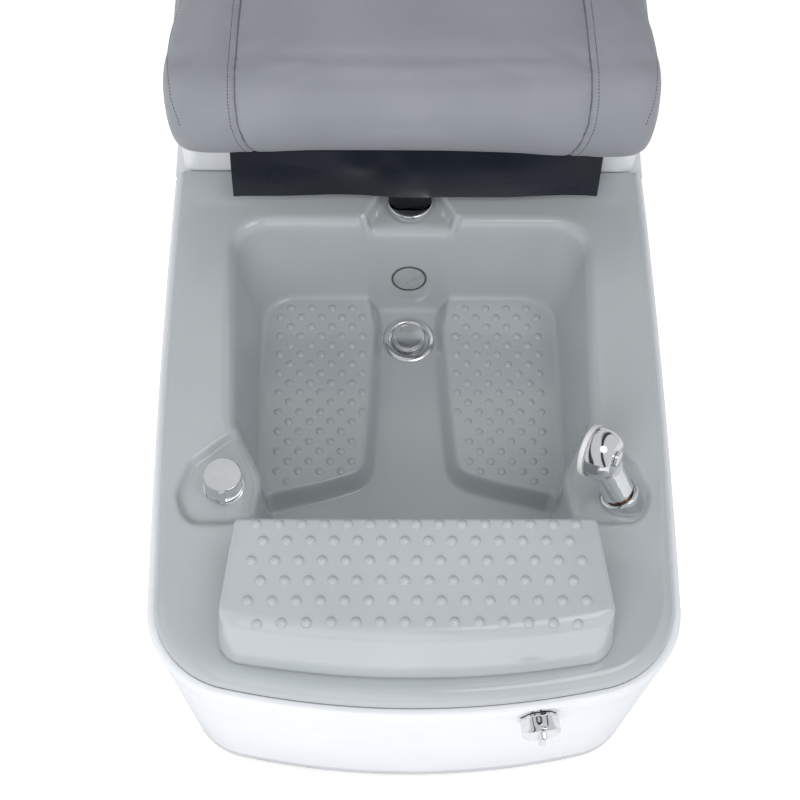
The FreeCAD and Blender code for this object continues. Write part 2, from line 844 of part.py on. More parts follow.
def spray_handle():
    """Handle that swells into a round head; its lower end sits in the collar."""
    axis = sprayer_axis()
    base = collar_top()
    inside = handle_base_radius
    profile = [(0, -collar_height), (inside, -collar_height), (inside, handle_gap),
               (handle_grip_radius, handle_gap), (handle_grip_radius, handle_length * half_share),
               (handle_neck_radius, head_height), (0, head_height)]
    body = turned(profile, base, axis)
    profile = [(head_radius * across, head_depth * along) for across, along in head_shares]
    head = turned([(0, -head_depth)] + profile + [(head_radius, face_depth), (0, face_depth)], head_centre(),
                  head_axis())
    crown = Part.makeSphere(head_depth * head_crown_share, head_centre())
    solid = fused([body, head, crown])
    ahead = rod(head_radius * 2, head_centre() + head_axis() * face_depth, head_axis(), head_radius * 2)
    pocket = rod(trigger_radius + slide_clearance, trigger_seat(), trigger_axis(), trigger_depth * 3)
    return solid.cut(ahead).cut(pocket)


def trigger_axis():
    """The thumb trigger stands out of the back of the head, square to the handle."""
    return head_axis() * -1


def trigger_seat():
    return head_centre() + trigger_axis() * trigger_set


def spray_trigger():
    axis = trigger_axis()
    button = rod(trigger_radius, trigger_seat() + axis * (trigger_travel + slide_clearance), axis,
                 trigger_depth)
    return button.makeFillet(knob_edge_round, [button.Edges[0]])


def spray_face():
    start = head_centre() + head_axis() * face_depth
    return turned([(0, 0), (head_radius, 0), (face_radius, face_depth), (0, face_depth)], start, head_axis())


def spray_stub():
    """The length of hose just below the handle, which the handle draws out."""
    axis = sprayer_axis()
    return rod(stub_radius, collar_top() - axis * (collar_height + stub_length), axis, stub_length)


# Drain: dished flange, pop-up plug, tail with locknut, bottle trap and outlet pipe
flange_radius = 37.5
flange_height = 3.0
flange_mouth_radius = 27.0
plug_radius = 23.5
plug_height = 6.0
plug_lift = 8.0
plug_gap = 0.3
plug_edge_round = 2.5
plug_stem_radius = 4.0
plug_stem_length = 60.0
drain_tail_radius = 20.0
drain_tail_bore = 16.0
drain_tail_length = 76.0
drain_spider_height = 5.0
drain_spider_radius = 7.0
drain_spider_width = 3.0
drain_throat_depth = 20.0
trap_radius = 36.0
trap_height = 66.0
trap_base = 66.0
outlet_height = 104.0
outlet_radius = 20.0
outlet_pipe_radius = 19.0
outlet_bore = 17.0
outlet_reach = 40.0
outlet_shoulder = 4.0


def drain_flange():
    seat = drain_seat()
    floor = flange_height * half_share
    profile = [(drain_tail_bore, 0), (flange_radius, 0),
               (flange_mouth_radius + flange_height, flange_height), (flange_mouth_radius, flange_height),
               (drain_tail_bore + flange_height, floor), (drain_tail_bore, floor)]
    return turned(profile, seat, up)


def drain_body():
    """Threaded tail below the flange, with a three-armed guide for the plug's stem."""
    seat = drain_seat()
    tail = ring(drain_tail_radius, drain_tail_bore, seat - up * drain_tail_length, up, drain_tail_length)
    sleeve = ring(drain_shank_radius, drain_tail_bore, seat - up * drain_throat_depth, up,
                  drain_throat_depth)
    guide_base = seat - up * (drain_throat_depth + drain_spider_height)
    hub = rod(drain_spider_radius, guide_base, up, drain_spider_height)
    arms = []
    for index in range(3):
        half = drain_spider_width * half_share
        arm = box(0, drain_tail_bore + slide_clearance, -half, half, 0, drain_spider_height)
        arm.rotate(Vec(0, 0, 0), up, 360 * index / 3)
        arm.translate(guide_base)
        arms.append(arm)
    bore = rod(plug_stem_radius + turn_clearance, guide_base - up * drain_spider_height, up,
               drain_spider_height * 3)
    return fused([tail, sleeve, hub] + arms).cut(bore)


def drain_plug():
    """Domed cap on a stem, shown closed."""
    base = drain_seat() + up * (flange_height + plug_gap)
    cap = rod(plug_radius, base, up, plug_height)
    cap = cap.makeFillet(plug_edge_round, level_edges(cap, base.z + plug_height))
    stem = rod(plug_stem_radius, base - up * plug_stem_length, up, plug_stem_length)
    return cap.fuse(stem)


def drain_locknut():
    return hex_nut(drain_shank_radius, drain_seat() - up * basin_wall, down)


def drain_trap():
    """Bottle trap with its side outlet run out through the rear of the seat box."""
    seat = drain_seat()
    top = trap_base + trap_height
    cup = rod(trap_radius, Vec(0, drain_station, trap_base), up, trap_height)
    cup = cup.makeFillet(plug_edge_round * 2, level_edges(cup, top) + level_edges(cup, trap_base))
    pipe_length = seat_box_rear + outlet_reach - drain_station
    pipe = rod(outlet_pipe_radius, Vec(0, drain_station, outlet_height), rearward, pipe_length)
    spigot = rod(outlet_radius, Vec(0, seat_box_rear + outlet_shoulder, outlet_height), rearward,
                 outlet_reach - outlet_shoulder)
    hollow = rod(trap_radius - shell_wall, Vec(0, drain_station, trap_base + shell_wall), up,
                 trap_height - shell_wall * 2)
    pipe_bore = rod(outlet_bore, Vec(0, drain_station, outlet_height), rearward, pipe_length)
    socket = rod(drain_tail_radius + turn_clearance, Vec(0, drain_station, top - shell_wall * 2), up,
                 shell_wall * 3)
    return cup.multiFuse([pipe, spigot]).cut(hollow).cut(pipe_bore).cut(socket)


# Drain control: fluted knob with a grip bar on a thin plate, its stem turning in a bushing
drain_knob_radius = 24.0
drain_knob_depth = 24.0
drain_knob_edge = 3.0
flute_radius = 16.0
flute_count = 6
flute_bite = 2.2
bar_width = 8.0
bar_length = 36.0
bar_height = 9.0
bar_round = 2.5
drain_plate_radius = 27.0
drain_plate_height = 2.0
drain_stem_radius = 5.0
drain_stem_length = 30.0
drain_knob_gap = 0.5
bushing_radius = 10.0
bushing_length = 22.0


def drain_knob():
    body = rod(drain_knob_radius, Vec(0, 0, 0), up, drain_knob_depth)
    body = body.makeFillet(drain_knob_edge, level_edges(body, drain_knob_depth))
    flutes = []
    for index in range(flute_count):
        angle = 2 * math.pi * (index + half_share) / flute_count
        reach = drain_knob_radius + flute_radius - flute_bite
        place = Vec(reach * math.cos(angle), reach * math.sin(angle), -cut_overrun)
        flutes.append(rod(flute_radius, place, up, cut_overrun + drain_knob_depth - drain_knob_edge * 2))
    body = body.cut(Part.makeCompound(flutes))
    bar = box(-bar_width * half_share, bar_width * half_share, -bar_length * half_share,
              bar_length * half_share,
              drain_knob_depth - bar_round, drain_knob_depth + bar_height)
    bar = bar.makeFillet(bar_round, level_edges(bar, drain_knob_depth + bar_height))
    stem = rod(drain_stem_radius, down * drain_stem_length, up, drain_stem_length + drain_knob_edge)
    return placed_on_skirt(fused([body, bar, stem]), drain_plate_height + drain_knob_gap)


def placed_on_skirt(shape, lift):
    """Stands a shape on the drain knob's seat with its Y direction kept upright."""
    axis = knob_axis()
    across = up.cross(axis).normalize()
    upright = axis.cross(across)
    rotation = FreeCAD.Rotation(across, upright, axis, "ZXY")
    copy = shape.copy()
    copy.Placement = FreeCAD.Placement(knob_seat() + axis * lift, rotation)
    return copy


def drain_knob_plate():
    """Plate on the skirt with the bushing that the knob's stem turns in."""
    plate = rod(drain_plate_radius, Vec(0, 0, 0), up, drain_plate_height)
    bushing = rod(bushing_radius, down * bushing_length, up, bushing_length)
    bore = rod(drain_stem_radius + turn_clearance, down * bushing_length * 2, up, bushing_length * 3)
    return placed_on_skirt(plate.fuse(bushing).cut(bore), 0)


# Underwater light: bezel and lens flush in the bowl's rear wall, body behind it
light_radius = 25.0
light_lens_radius = 22.6
light_rise = 1.6
light_body_length = 40.0


def light_ring():
    return ring(light_radius, light_lens_radius, light_seat(), light_axis(), light_rise)


def light_lens():
    return rod(light_lens_radius - slide_clearance, light_seat(), light_axis(), light_rise)


def light_body():
    return rod(light_shank_radius, light_seat() - light_axis() * light_body_length, light_axis(),
               light_body_length)


def light_nut():
    return hex_nut(light_shank_radius, light_seat() - light_axis() * (basin_wall + light_rise),
                   light_axis() * -1)


driver_size = Vec(110.0, 70.0, 34.0)
driver_inset = 72.0
driver_rear_gap = 220.0
driver_place = Vec(driver_inset - frame_half_width, seat_box_rear - driver_rear_gap, frame_base + tube_size)


def light_driver():
    """Sealed low-voltage driver on a tray across the frame, under the seat."""
    low = driver_place
    case = Part.makeBox(driver_size.x, driver_size.y, driver_size.z, low)
    case = case.makeFillet(shell_wall, upright_edges(case))
    tray = box(-frame_half_width, low.x + driver_size.x, low.y, low.y + driver_size.y,
               low.z - shell_wall, low.z)
    over_tube = box(-frame_half_width, tube_size - frame_half_width, low.y, low.y + driver_size.y,
                    low.z - shell_wall, low.z)
    return case.fuse(tray.cut(over_tube))


# Water inlets in the rear wall, and the hoses to the mixer, spout and sprayer
inlet_radius = 14.0
inlet_bore = 10.48
inlet_depth = 16.0
inlet_reach = 10.0
inlet_flange_radius = 19.0
inlet_length = 34.0
inlet_height = 104.0
inlet_spacing = 60.0
inlet_offset = 150.0
hose_radius = 6.0
hose_tail = 60.0
hose_elbow = 27.0
bend_share = 0.45

# Hose runs: distance from the middle, station, and drop below the deck at each bend
hot_run = [(-262.0, 480.0, 82.0), (-266.0, 600.0, 96.0), (-262.0, 715.0, 112.0), (-226.0, 830.0, 144.0),
           (-208.0, 950.0, 185.0), (-206.0, 1065.0, 228.0)]
cold_run = [(-280.0, 490.0, 54.0), (-287.0, 600.0, 70.0), (-278.0, 710.0, 86.0), (-228.0, 805.0, 112.0),
            (-178.0, 905.0, 150.0), (-154.0, 1020.0, 194.0), (-148.0, 1105.0, 226.0)]
spout_run = [(-305.0, 345.0, 94.0), (-293.0, 440.0, 122.0), (-283.0, 580.0, 144.0), (-258.0, 710.0, 153.0),
             (-180.0, 785.0, 154.0), (-90.0, 808.0, 148.0), (-30.0, 795.0, 136.0)]
feed_run = [(-208.0, 188.0, 92.0), (-110.0, 168.0, 108.0), (0.0, 162.0, 116.0), (110.0, 168.0, 122.0),
            (205.0, 192.0, 128.0), (262.0, 224.0, 134.0), (289.0, 252.0, 128.0)]


def hot_place():
    return Vec(-inlet_offset - inlet_spacing, seat_box_rear, inlet_height)


def cold_place():
    return Vec(-inlet_offset, seat_box_rear, inlet_height)


def inlet_at(place):
    """Threaded inlet held by a flange outside the wall, with a hose tail inside."""
    flange = rod(inlet_flange_radius, place, rearward, inlet_reach)
    shank = rod(inlet_radius, place - rearward * inlet_length, rearward, inlet_length)
    bore = rod(inlet_bore, place + rearward * (inlet_reach - inlet_depth), rearward, inlet_depth)
    return flange.fuse(shank).cut(bore)


def hot_inlet():
    return inlet_at(hot_place())


def cold_inlet():
    return inlet_at(cold_place())


def run_points(run):
    return [Vec(x, station, deck_height - drop) for x, station, drop in run]


def hose(points, radius):
    """A round hose along straight runs joined by tangent arcs."""
    edges = []
    start = points[0]
    radii = []
    for index in range(1, len(points) - 1):
        here = points[index]
        back = points[index - 1] - here
        ahead = points[index + 1] - here
        turn = math.pi - back.getAngle(ahead)
        bend = bend_share * min(back.Length, ahead.Length) / math.tan(turn / 2)
        reach = bend * math.tan(turn / 2)
        back.normalize()
        ahead.normalize()
        first = here + back * reach
        last = here + ahead * reach
        inward = (back + ahead).normalize()
        middle = here + inward * (bend / math.cos(turn / 2) - bend)
        edges.append(Part.makeLine(start, first))
        edges.append(arc(first, middle, last))
        radii.append(round(bend))
        start = last
    edges.append(Part.makeLine(start, points[-1]))
    path = Part.Wire(edges)
    first_run = (points[1] - points[0]).normalize()
    profile = Part.Wire([Part.makeCircle(radius, points[0], first_run)])
    solid = path.makePipeShell([profile], True, False)
    print("hose radii", radii, "volume share", round(solid.Volume / (math.pi * radius ** 2 * path.Length),
                                                     3))
    return solid


def hot_hose():
    start = mixer_ports()[0][0] + rearward * port_length
    end = hot_place() - rearward * inlet_length
    return hose([start, start + rearward * hose_tail] + run_points(hot_run) + [end - rearward * hose_tail,
                                                                               end], hose_radius)


def cold_hose():
    start = mixer_ports()[1][0] + rearward * port_length
    end = cold_place() - rearward * inlet_length
    return hose([start, start + rearward * hose_tail] + run_points(cold_run) + [end - rearward * hose_tail,
                                                                                end], hose_radius)


def spout_hose():
    start = mixer_ports()[2][0] + leftward * port_length
    end = spout_seat() - up * spout_shank_length
    return hose([start, start + leftward * hose_elbow] + run_points(spout_run) + [end - up * hose_elbow * 2,
                                                                                  end], hose_radius)


def feed_hose():
    """From the mixer round the front of the bowl to the foot of the sprayer's hose."""
    start = mixer_ports()[3][0] + forward * port_length
    axis = sprayer_axis()
    end = collar_top() - axis * (collar_height + stub_length + soft_clearance)
    approach = end - axis * hose_elbow * half_share
    return hose([start, start + forward * hose_elbow] + run_points(feed_run) + [approach, end], hose_radius)


cable_radius = 3.0
cable_lead = 22.0
drain_cable_run = [(132.0, 120.0, 82.0), (118.0, 165.0, 130.0), (98.0, 225.0, 182.0), (72.0, 305.0, 212.0),
                   (44.0, 400.0, 224.0), (18.0, 490.0, 220.0)]
light_cable_run = [(16.0, 764.0, 136.0), (34.0, 815.0, 166.0), (26.0, 890.0, 194.0), (-6.0, 960.0, 206.0),
                   (-36.0, 1025.0, 216.0), (-48.0, 1072.0, 238.0)]


def drain_cable():
    """Sheathed cable from the drain control to the plug's guide."""
    start = knob_seat() - knob_axis() * (drain_stem_length + soft_clearance)
    end = Vec(0, drain_station - drain_tail_radius, (outlet_height + deck_height - bowl_depth) * half_share)
    leave = start - knob_axis() * cable_lead
    return hose([start, leave] + run_points(drain_cable_run) + [end - rearward * cable_lead * 2, end],
                cable_radius)


def light_cable():
    start = light_seat() - light_axis() * light_body_length
    low = driver_place
    end = Vec(low.x + driver_size.x, low.y + driver_size.y * half_share, low.z + driver_size.z * half_share)
    leave = start - light_axis() * cable_lead * half_share
    arrive = end + sideways * cable_lead
    rise = arrive + up * cable_lead * half_share * half_share
    return hose([start, leave] + run_points(light_cable_run) + [rise,
                                                                arrive - sideways * cable_lead * half_share,
                                                                end], cable_radius)


# Footrest: a hollow moulding that lifts off the deck, its top covered with domes
footrest_height = 97.0
footrest_rear_half = 224.0
footrest_front_half = 243.0
footrest_rear = 215.0
footrest_side_front = 64.0
footrest_front = 39.0
footrest_corner = 26.0
footrest_rear_corner = 15.0
footrest_edge = 9.0
footrest_front_edge = 20.0
footrest_roll_gap = 1.0
footrest_wall = 6.0
footrest_lift = 2.0
footrest_draft = 5.0
footrest_travel = 140.0
dome_radius = 6.5
dome_height = 3.5
dome_pitch = 28.0
dome_margin = 42.0
dome_row_stations = [197.5, 175.5, 149.5, 123.5, 97.5, 70.5]
footrest_foot_radius = 9.0
footrest_foot_inset = 24.0


def footrest_loop(inset, level):
    front = footrest_front + inset
    side = footrest_side_front + inset
    rear = footrest_rear - inset
    half_front = footrest_front_half - inset
    half_rear = footrest_rear_half - inset
    corner = footrest_corner - inset * half_share
    first = Vec(half_front, side, level)
    points = [Vec(half_rear, rear, level), Vec(-half_rear, rear, level), Vec(-half_front, side, level)]
    edges = [Part.makeLine(first, points[0]), Part.makeLine(points[0], points[1]), Part.makeLine(points[1],
                                                                                                 points[2]),
             arc(points[2], Vec(0, front, level), first)]
    return Part.Wire(edges), corner


def footrest_roll(inset, base, top):
    """A wide disc whose rim follows the bowed front and is well rounded on top."""
    sag = footrest_side_front - footrest_front
    half = footrest_front_half - inset - footrest_draft
    bow = (half ** 2 + sag ** 2) / (2 * sag)
    reach = bow + footrest_roll_gap
    centre = Vec(0, footrest_front + inset + footrest_draft + bow, base)
    disc = Part.makeCone(reach + footrest_draft, reach, top - base, centre, up)
    return disc.makeFillet(footrest_front_edge - inset, level_edges(disc, top))


def footrest_body(inset, base, top, rounded):
    low, corner = footrest_loop(inset, base)
    high, _ = footrest_loop(inset + footrest_draft, top)
    body = Part.makeLoft([low, high], True, True)
    middle = (footrest_front + footrest_rear) * half_share
    for radius, behind in [(corner, False), (footrest_rear_corner - inset * half_share, True)]:
        sides = [edge for edge in body.Edges if edge.BoundBox.ZLength > (top - base) * half_share]
        body = body.makeFillet(radius, [e for e in sides if (e.BoundBox.YMin > middle) == behind])
    if rounded:
        body = body.makeFillet(footrest_edge, level_edges(body, top))
    return body.common(footrest_roll(inset, base, top))


def footrest():
    base = deck_height + footrest_lift
    top = base + footrest_height
    body = footrest_body(0, base, top, True)
    body = body.cut(footrest_body(footrest_wall, base - cut_overrun, top - footrest_wall, False))
    radius = (dome_radius ** 2 + dome_height ** 2) / (2 * dome_height)
    domes = []
    most = int((footrest_rear_half * 2 - dome_margin) / dome_pitch) + 1
    for row, station in enumerate(dome_row_stations):
        count = most - row % 2
        for index in range(count):
            x = (index - (count - 1) * half_share) * dome_pitch
            ball = Part.makeSphere(radius, Vec(x, station, top + dome_height - radius))
            domes.append(ball.common(rod(radius, Vec(x, station, top - footrest_wall * half_share), up,
                                         radius)))
    return body.multiFuse(domes)


def footrest_feet():
    """Four rubber pads on posts inside the footrest, which stand on the deck."""
    feet = []
    inset = footrest_foot_inset
    places = [(footrest_rear_half - inset, footrest_rear - inset),
              (footrest_front_half - inset * 2, footrest_side_front + inset)]
    length = footrest_lift + footrest_height - footrest_wall
    for x, y in places:
        for side in (-1, 1):
            feet.append(rod(footrest_foot_radius, Vec(side * x, y, deck_height), up, length))
    return Part.makeCompound(feet)


# Seat slide: channels on the frame's beams, carriages under the seat board, side release lever
rail_width = 40.0
rail_depth = 22.0
rail_wall = 3.0
rail_end_gap = 45.0
rail_front = seat_wall_station + rail_end_gap
rail_rear = seat_box_rear - rail_end_gap
carriage_length = 220.0
carriage_foot = 15.0
carriage_web = 6.0
carriage_flange_width = 50.0
carriage_flange = 4.0
board_half_width = 300.0
board_front_gap = 58.0
board_front = seat_wall_station + board_front_gap
board_rear_gap = 10.0
board_rear = seat_box_rear - board_rear_gap
lug_width = 32.0
lug_size = 18.0
lever_radius = 5.0
lever_offset = 62.5
lever_outer = rim_half_width
lever_thickness = 12.0
lever_length = 88.0
lever_height = 14.0
lever_drop = 11.0


def rail_at(x):
    half = rail_width * half_share
    outer = box(x - half, x + half, rail_front, rail_rear, rail_height, rail_height + rail_depth)
    inner = box(x - half + rail_wall, x + half - rail_wall, rail_front - cut_overrun,
                rail_rear + cut_overrun,
                rail_height + rail_wall, rail_height + rail_depth + cut_overrun)
    return outer.cut(inner)


def seat_rails():
    return Part.makeCompound([rail_at(rail_half_spacing), rail_at(-rail_half_spacing)])


def carriage_front():
    middle = (rail_front + rail_rear - carriage_length) * half_share
    return middle + (seat_travel_forward - seat_travel_back) * half_share


def lever_station():
    return carriage_front() + lever_offset


def carriage_at(x):
    half = rail_width * half_share - rail_wall - slide_clearance
    front = carriage_front()
    rear = front + carriage_length
    base = rail_height + rail_wall + slide_clearance
    foot = box(x - half, x + half, front, rear, base, base + carriage_foot)
    web = box(x - carriage_web * half_share, x + carriage_web * half_share, front, rear, base, board_height)
    flange = box(x - carriage_flange_width * half_share, x + carriage_flange_width * half_share, front, rear,
                 board_height - carriage_flange, board_height)
    return fused([foot, web, flange])


def slide_carriages():
    right = carriage_at(rail_half_spacing)
    start = rail_half_spacing + carriage_web * half_share
    lug = box(start, start + lug_width, lever_station() - lug_size * half_share,
              lever_station() + lug_size * half_share,
              board_height - lug_size - carriage_flange, board_height - carriage_flange * half_share)
    bore = rod(lever_radius + turn_clearance,
               lever_pivot() + sideways * (carriage_web * half_share + turn_clearance),
               sideways, lug_width * 2)
    right = fused([right, lug]).cut(bore)
    left = carriage_at(-rail_half_spacing)
    pair = [side.cut(Part.makeCompound(bolt_shanks(bolt_radius + turn_clearance))) for side in (left, right)]
    return Part.makeCompound(pair)


def bolt_places():
    front = carriage_front()
    reach = carriage_flange_width * half_share - bolt_radius * 3
    places = []
    for side in (-1, 1):
        for offset in (-reach, reach):
            for station in (front + bolt_radius * 5, front + carriage_length - bolt_radius * 5):
                places.append(Vec(side * rail_half_spacing + offset, station, board_height))
    return places


def bolt_shanks(radius):
    length = carriage_flange + board_thickness * half_share
    return [rod(radius, place - up * carriage_flange, up, length) for place in bolt_places()]


def seat_bolts():
    head = bolt_radius * 2
    bolts = []
    for shank, place in zip(bolt_shanks(bolt_radius), bolt_places()):
        bolts.append(shank.fuse(rod(head, place - up * (carriage_flange + bolt_radius), up, bolt_radius)))
    return Part.makeCompound(bolts)


def seat_board():
    board = box(-board_half_width, board_half_width, board_front, board_rear, board_height,
                board_height + board_thickness)
    board = board.makeFillet(rear_corner_radius, upright_edges(board))
    return board.cut(Part.makeCompound(bolt_shanks(bolt_radius + turn_clearance)))


def lever_pivot():
    return Vec(rail_half_spacing, lever_station(), board_height - lever_drop - carriage_flange * half_share)


def release_lever():
    pivot = lever_pivot()
    start = rail_half_spacing + carriage_web * half_share + soft_clearance
    shaft = rod(lever_radius, Vec(start, pivot.y, pivot.z), sideways,
                lever_outer - lever_thickness * half_share - start)
    half = lever_height * half_share
    paddle = box(lever_outer - lever_thickness, lever_outer, lever_station() - lever_length,
                 lever_station() + half,
                 pivot.z - half, pivot.z + half)
    paddle = paddle.makeFillet(lever_thickness * half_share * half_share, paddle.Edges)
    return shaft.fuse(paddle)


# Seat cushion: a crowned slab that runs into a thick front roll, with two sewn channels
roll_radius = 65.0
roll_station = 787.0
roll_drop = 2.0
roll_height = seat_height - roll_radius - roll_drop
roll_half_width = 325.0
slab_half_width = 314.0
back_pad_space = 88.0
slab_rear = seat_box_rear - back_pad_space
slab_corner = 34.0
channel_offset = 229.0
channel_width = 7.0
channel_depth = 4.0
crown_steps = [(0.0, 12.0), (0.16, 1.0), (0.5, 0.0), (0.8, 3.0), (0.94, 12.0), (1.0, 34.0)]
roll_steps = [(1.0, 0.0), (0.995, 0.45), (0.975, 0.8), (0.93, 0.955), (0.86, 1.0)]


def crowned_slab(half_width, front, rear, base, top, corner):
    """A pad whose sides pull in at its foot and whose top is crowned."""
    wires = []
    for share, inset in crown_steps:
        level = base + (top - base) * share
        points = [(half_width - inset, rear - inset, corner), (-half_width + inset, rear - inset, corner),
                  (-half_width + inset, front + inset, corner), (half_width - inset, front + inset, corner)]
        wires.append(loop(points, level))
    return Part.makeLoft(wires, True, True)


def front_roll():
    """The round front of the seat, turned about a line across the bench, drawn in at the channels."""
    half = [(share * roll_radius, along * roll_half_width) for along, share in roll_steps]
    half += [(roll_radius, channel_offset + channel_width), (roll_radius - channel_depth, channel_offset),
             (roll_radius, channel_offset - channel_width)]
    profile = half + [(radius, -along) for radius, along in reversed(half)]
    return turned(profile, Vec(0, roll_station, roll_height), sideways)


def channel_cut(x, front, rear, top):
    """A sewn channel: a narrow V along the top of a pad."""
    profile = [Vec(x - channel_width * half_share, front, top + channel_depth), Vec(x, front,
                                                                                    top - channel_depth),
               Vec(x + channel_width * half_share, front, top + channel_depth)]
    return Part.Face(Part.makePolygon(profile + [profile[0]])).extrude(rearward * (rear - front))


def seat_cushion():
    base = board_height + board_thickness + soft_clearance
    slab = crowned_slab(slab_half_width, roll_station, slab_rear, base, seat_height, slab_corner)
    body = slab.fuse(front_roll())
    clear = soft_clearance
    under = box(-roll_half_width, roll_half_width, board_front - clear, slab_rear,
                roll_height - roll_radius * 2, base)
    body = body.cut(under)
    for x in (-channel_offset, channel_offset):
        body = body.cut(channel_cut(x, roll_station + roll_radius * half_share, slab_rear, seat_height))
    return body


# Splash flap: a sheet clamped under the seat board that follows the roll and hangs over the basin
flap_half_width = 248.0
flap_thickness = 1.6
flap_hang_station = 748.0
flap_deck_gap = 13.0
flap_bottom = deck_height + flap_deck_gap
flap_clamp_length = 24.0
batten_height = 4.0


def splash_flap():
    """One sheet: clamped flat, led round under the roll, then hanging."""
    inner = roll_radius + soft_clearance
    outer = inner + flap_thickness

    def side(radius, hang, level):
        turn = Vec(0, hang, roll_height - math.sqrt(radius ** 2 - (roll_station - hang) ** 2))
        middle = Vec(0, roll_station, roll_height - radius)
        reach = board_front - roll_station
        drop = level - roll_height
        angle = math.atan2(drop, reach) - math.acos(radius / math.hypot(reach, drop))
        low = Vec(0, roll_station + radius * math.cos(angle), roll_height + radius * math.sin(angle))
        back = Vec(0, board_front, level)
        rear = Vec(0, board_front + flap_clamp_length, level)
        return turn, middle, low, back, rear

    top = board_height - soft_clearance * half_share
    upper = side(inner, flap_hang_station, top)
    lower = side(outer, flap_hang_station + flap_thickness, top - flap_thickness)
    foot_front = Vec(0, flap_hang_station, flap_bottom)
    foot_rear = Vec(0, flap_hang_station + flap_thickness, flap_bottom)
    edges = [Part.makeLine(foot_front, upper[0]), arc(*upper[:3]), Part.makeLine(upper[2], upper[3]),
             Part.makeLine(upper[3], upper[4]), Part.makeLine(upper[4], lower[4]), Part.makeLine(lower[4],
                                                                                                 lower[3]),
             Part.makeLine(lower[3], lower[2]), arc(lower[2], lower[1], lower[0]), Part.makeLine(lower[0],
                                                                                                 foot_rear),
             Part.makeLine(foot_rear, foot_front)]
    face = Part.Face(Part.Wire(edges))
    sheet = face.extrude(leftward * (flap_half_width * 2))
    sheet.translate(sideways * flap_half_width)
    return sheet


def flap_batten():
    top = board_height - flap_thickness - soft_clearance
    return box(-flap_half_width, flap_half_width, board_front + soft_clearance * 2,
               board_front + flap_clamp_length,
               top - batten_height, top)


# Backrest: board, pad, rear cover and two steel brackets, all leaning together
back_lean = 10.0
back_gap = 2.0
back_station = seat_box_rear - back_gap
back_base_rise = 10.0
back_base = board_height + back_base_rise
back_board_height = 515.0
back_board_half_width = 290.0
back_board_thickness = 18.0
back_pad_thickness = 84.0
back_pad_half_width = 300.0
back_pad_rise = 2.0
back_pad_channel = 205.0
cover_depth = 26.0
cover_wall = 4.0
cover_rise = 40.0
bracket_width = 44.0
bracket_thickness = 6.0
bracket_foot = 120.0
bracket_leg = 230.0
bracket_offset = 150.0


def leaned(shape):
    """Tips an upright backrest piece about the foot of the back board."""
    copy = shape.copy()
    copy.rotate(Vec(0, back_station, back_base), sideways, -back_lean)
    return copy


def back_board():
    board = box(-back_board_half_width, back_board_half_width, back_station,
                back_station + back_board_thickness,
                back_base, back_base + back_board_height)
    corners = [e for e in board.Edges if e.BoundBox.YLength > back_board_thickness * half_share]
    return leaned(board.makeFillet(rear_corner_radius, corners))


def back_cushion():
    """A crowned pad laid on its back, then stood up against the board."""
    half = back_height * half_share
    pad = crowned_slab(back_pad_half_width, -half, half, 0, back_pad_thickness, slab_corner)
    for x in (-back_pad_channel, back_pad_channel):
        pad = pad.cut(channel_cut(x, -half, half, back_pad_thickness))
    pad.rotate(Vec(0, 0, 0), sideways, 90)
    pad.translate(Vec(0, back_station - soft_clearance,
                      board_height + board_thickness + back_pad_rise + half))
    return leaned(pad)


def back_cover():
    """Shallow tray over the rear of the board, clear of the brackets."""
    rear = back_station + back_board_thickness
    outer = box(-back_board_half_width, back_board_half_width, rear, rear + cover_depth,
                back_base + cover_rise, back_base + back_board_height)
    edges = [e for e in outer.Edges if e.BoundBox.YLength > cover_depth * half_share]
    outer = outer.makeFillet(rear_corner_radius, edges)
    face_edges = [e for e in outer.Edges if e.BoundBox.YMin > rear + cover_depth - slide_clearance]
    outer = outer.makeFillet(cover_depth * half_share * half_share, face_edges)
    wall = cover_wall
    inner = box(-back_board_half_width + wall, back_board_half_width - wall, rear - cut_overrun,
                rear + cover_depth - wall,
                back_base + cover_rise - cut_overrun, back_base + back_board_height - wall)
    return leaned(outer.cut(inner))


def back_brackets():
    rear = back_station + back_board_thickness
    brackets = []
    for side in (-1, 1):
        x = side * bracket_offset
        low = x - bracket_width * half_share
        high = x + bracket_width * half_share
        foot = box(low, high, board_rear - bracket_foot, rear + bracket_thickness,
                   board_height - bracket_thickness,
                   board_height)
        leg = leaned(box(low, high, rear, rear + bracket_thickness, back_base - bracket_thickness * 2,
                         back_base + bracket_leg))
        brackets.append(fused([foot, leg]))
    return Part.makeCompound(brackets)


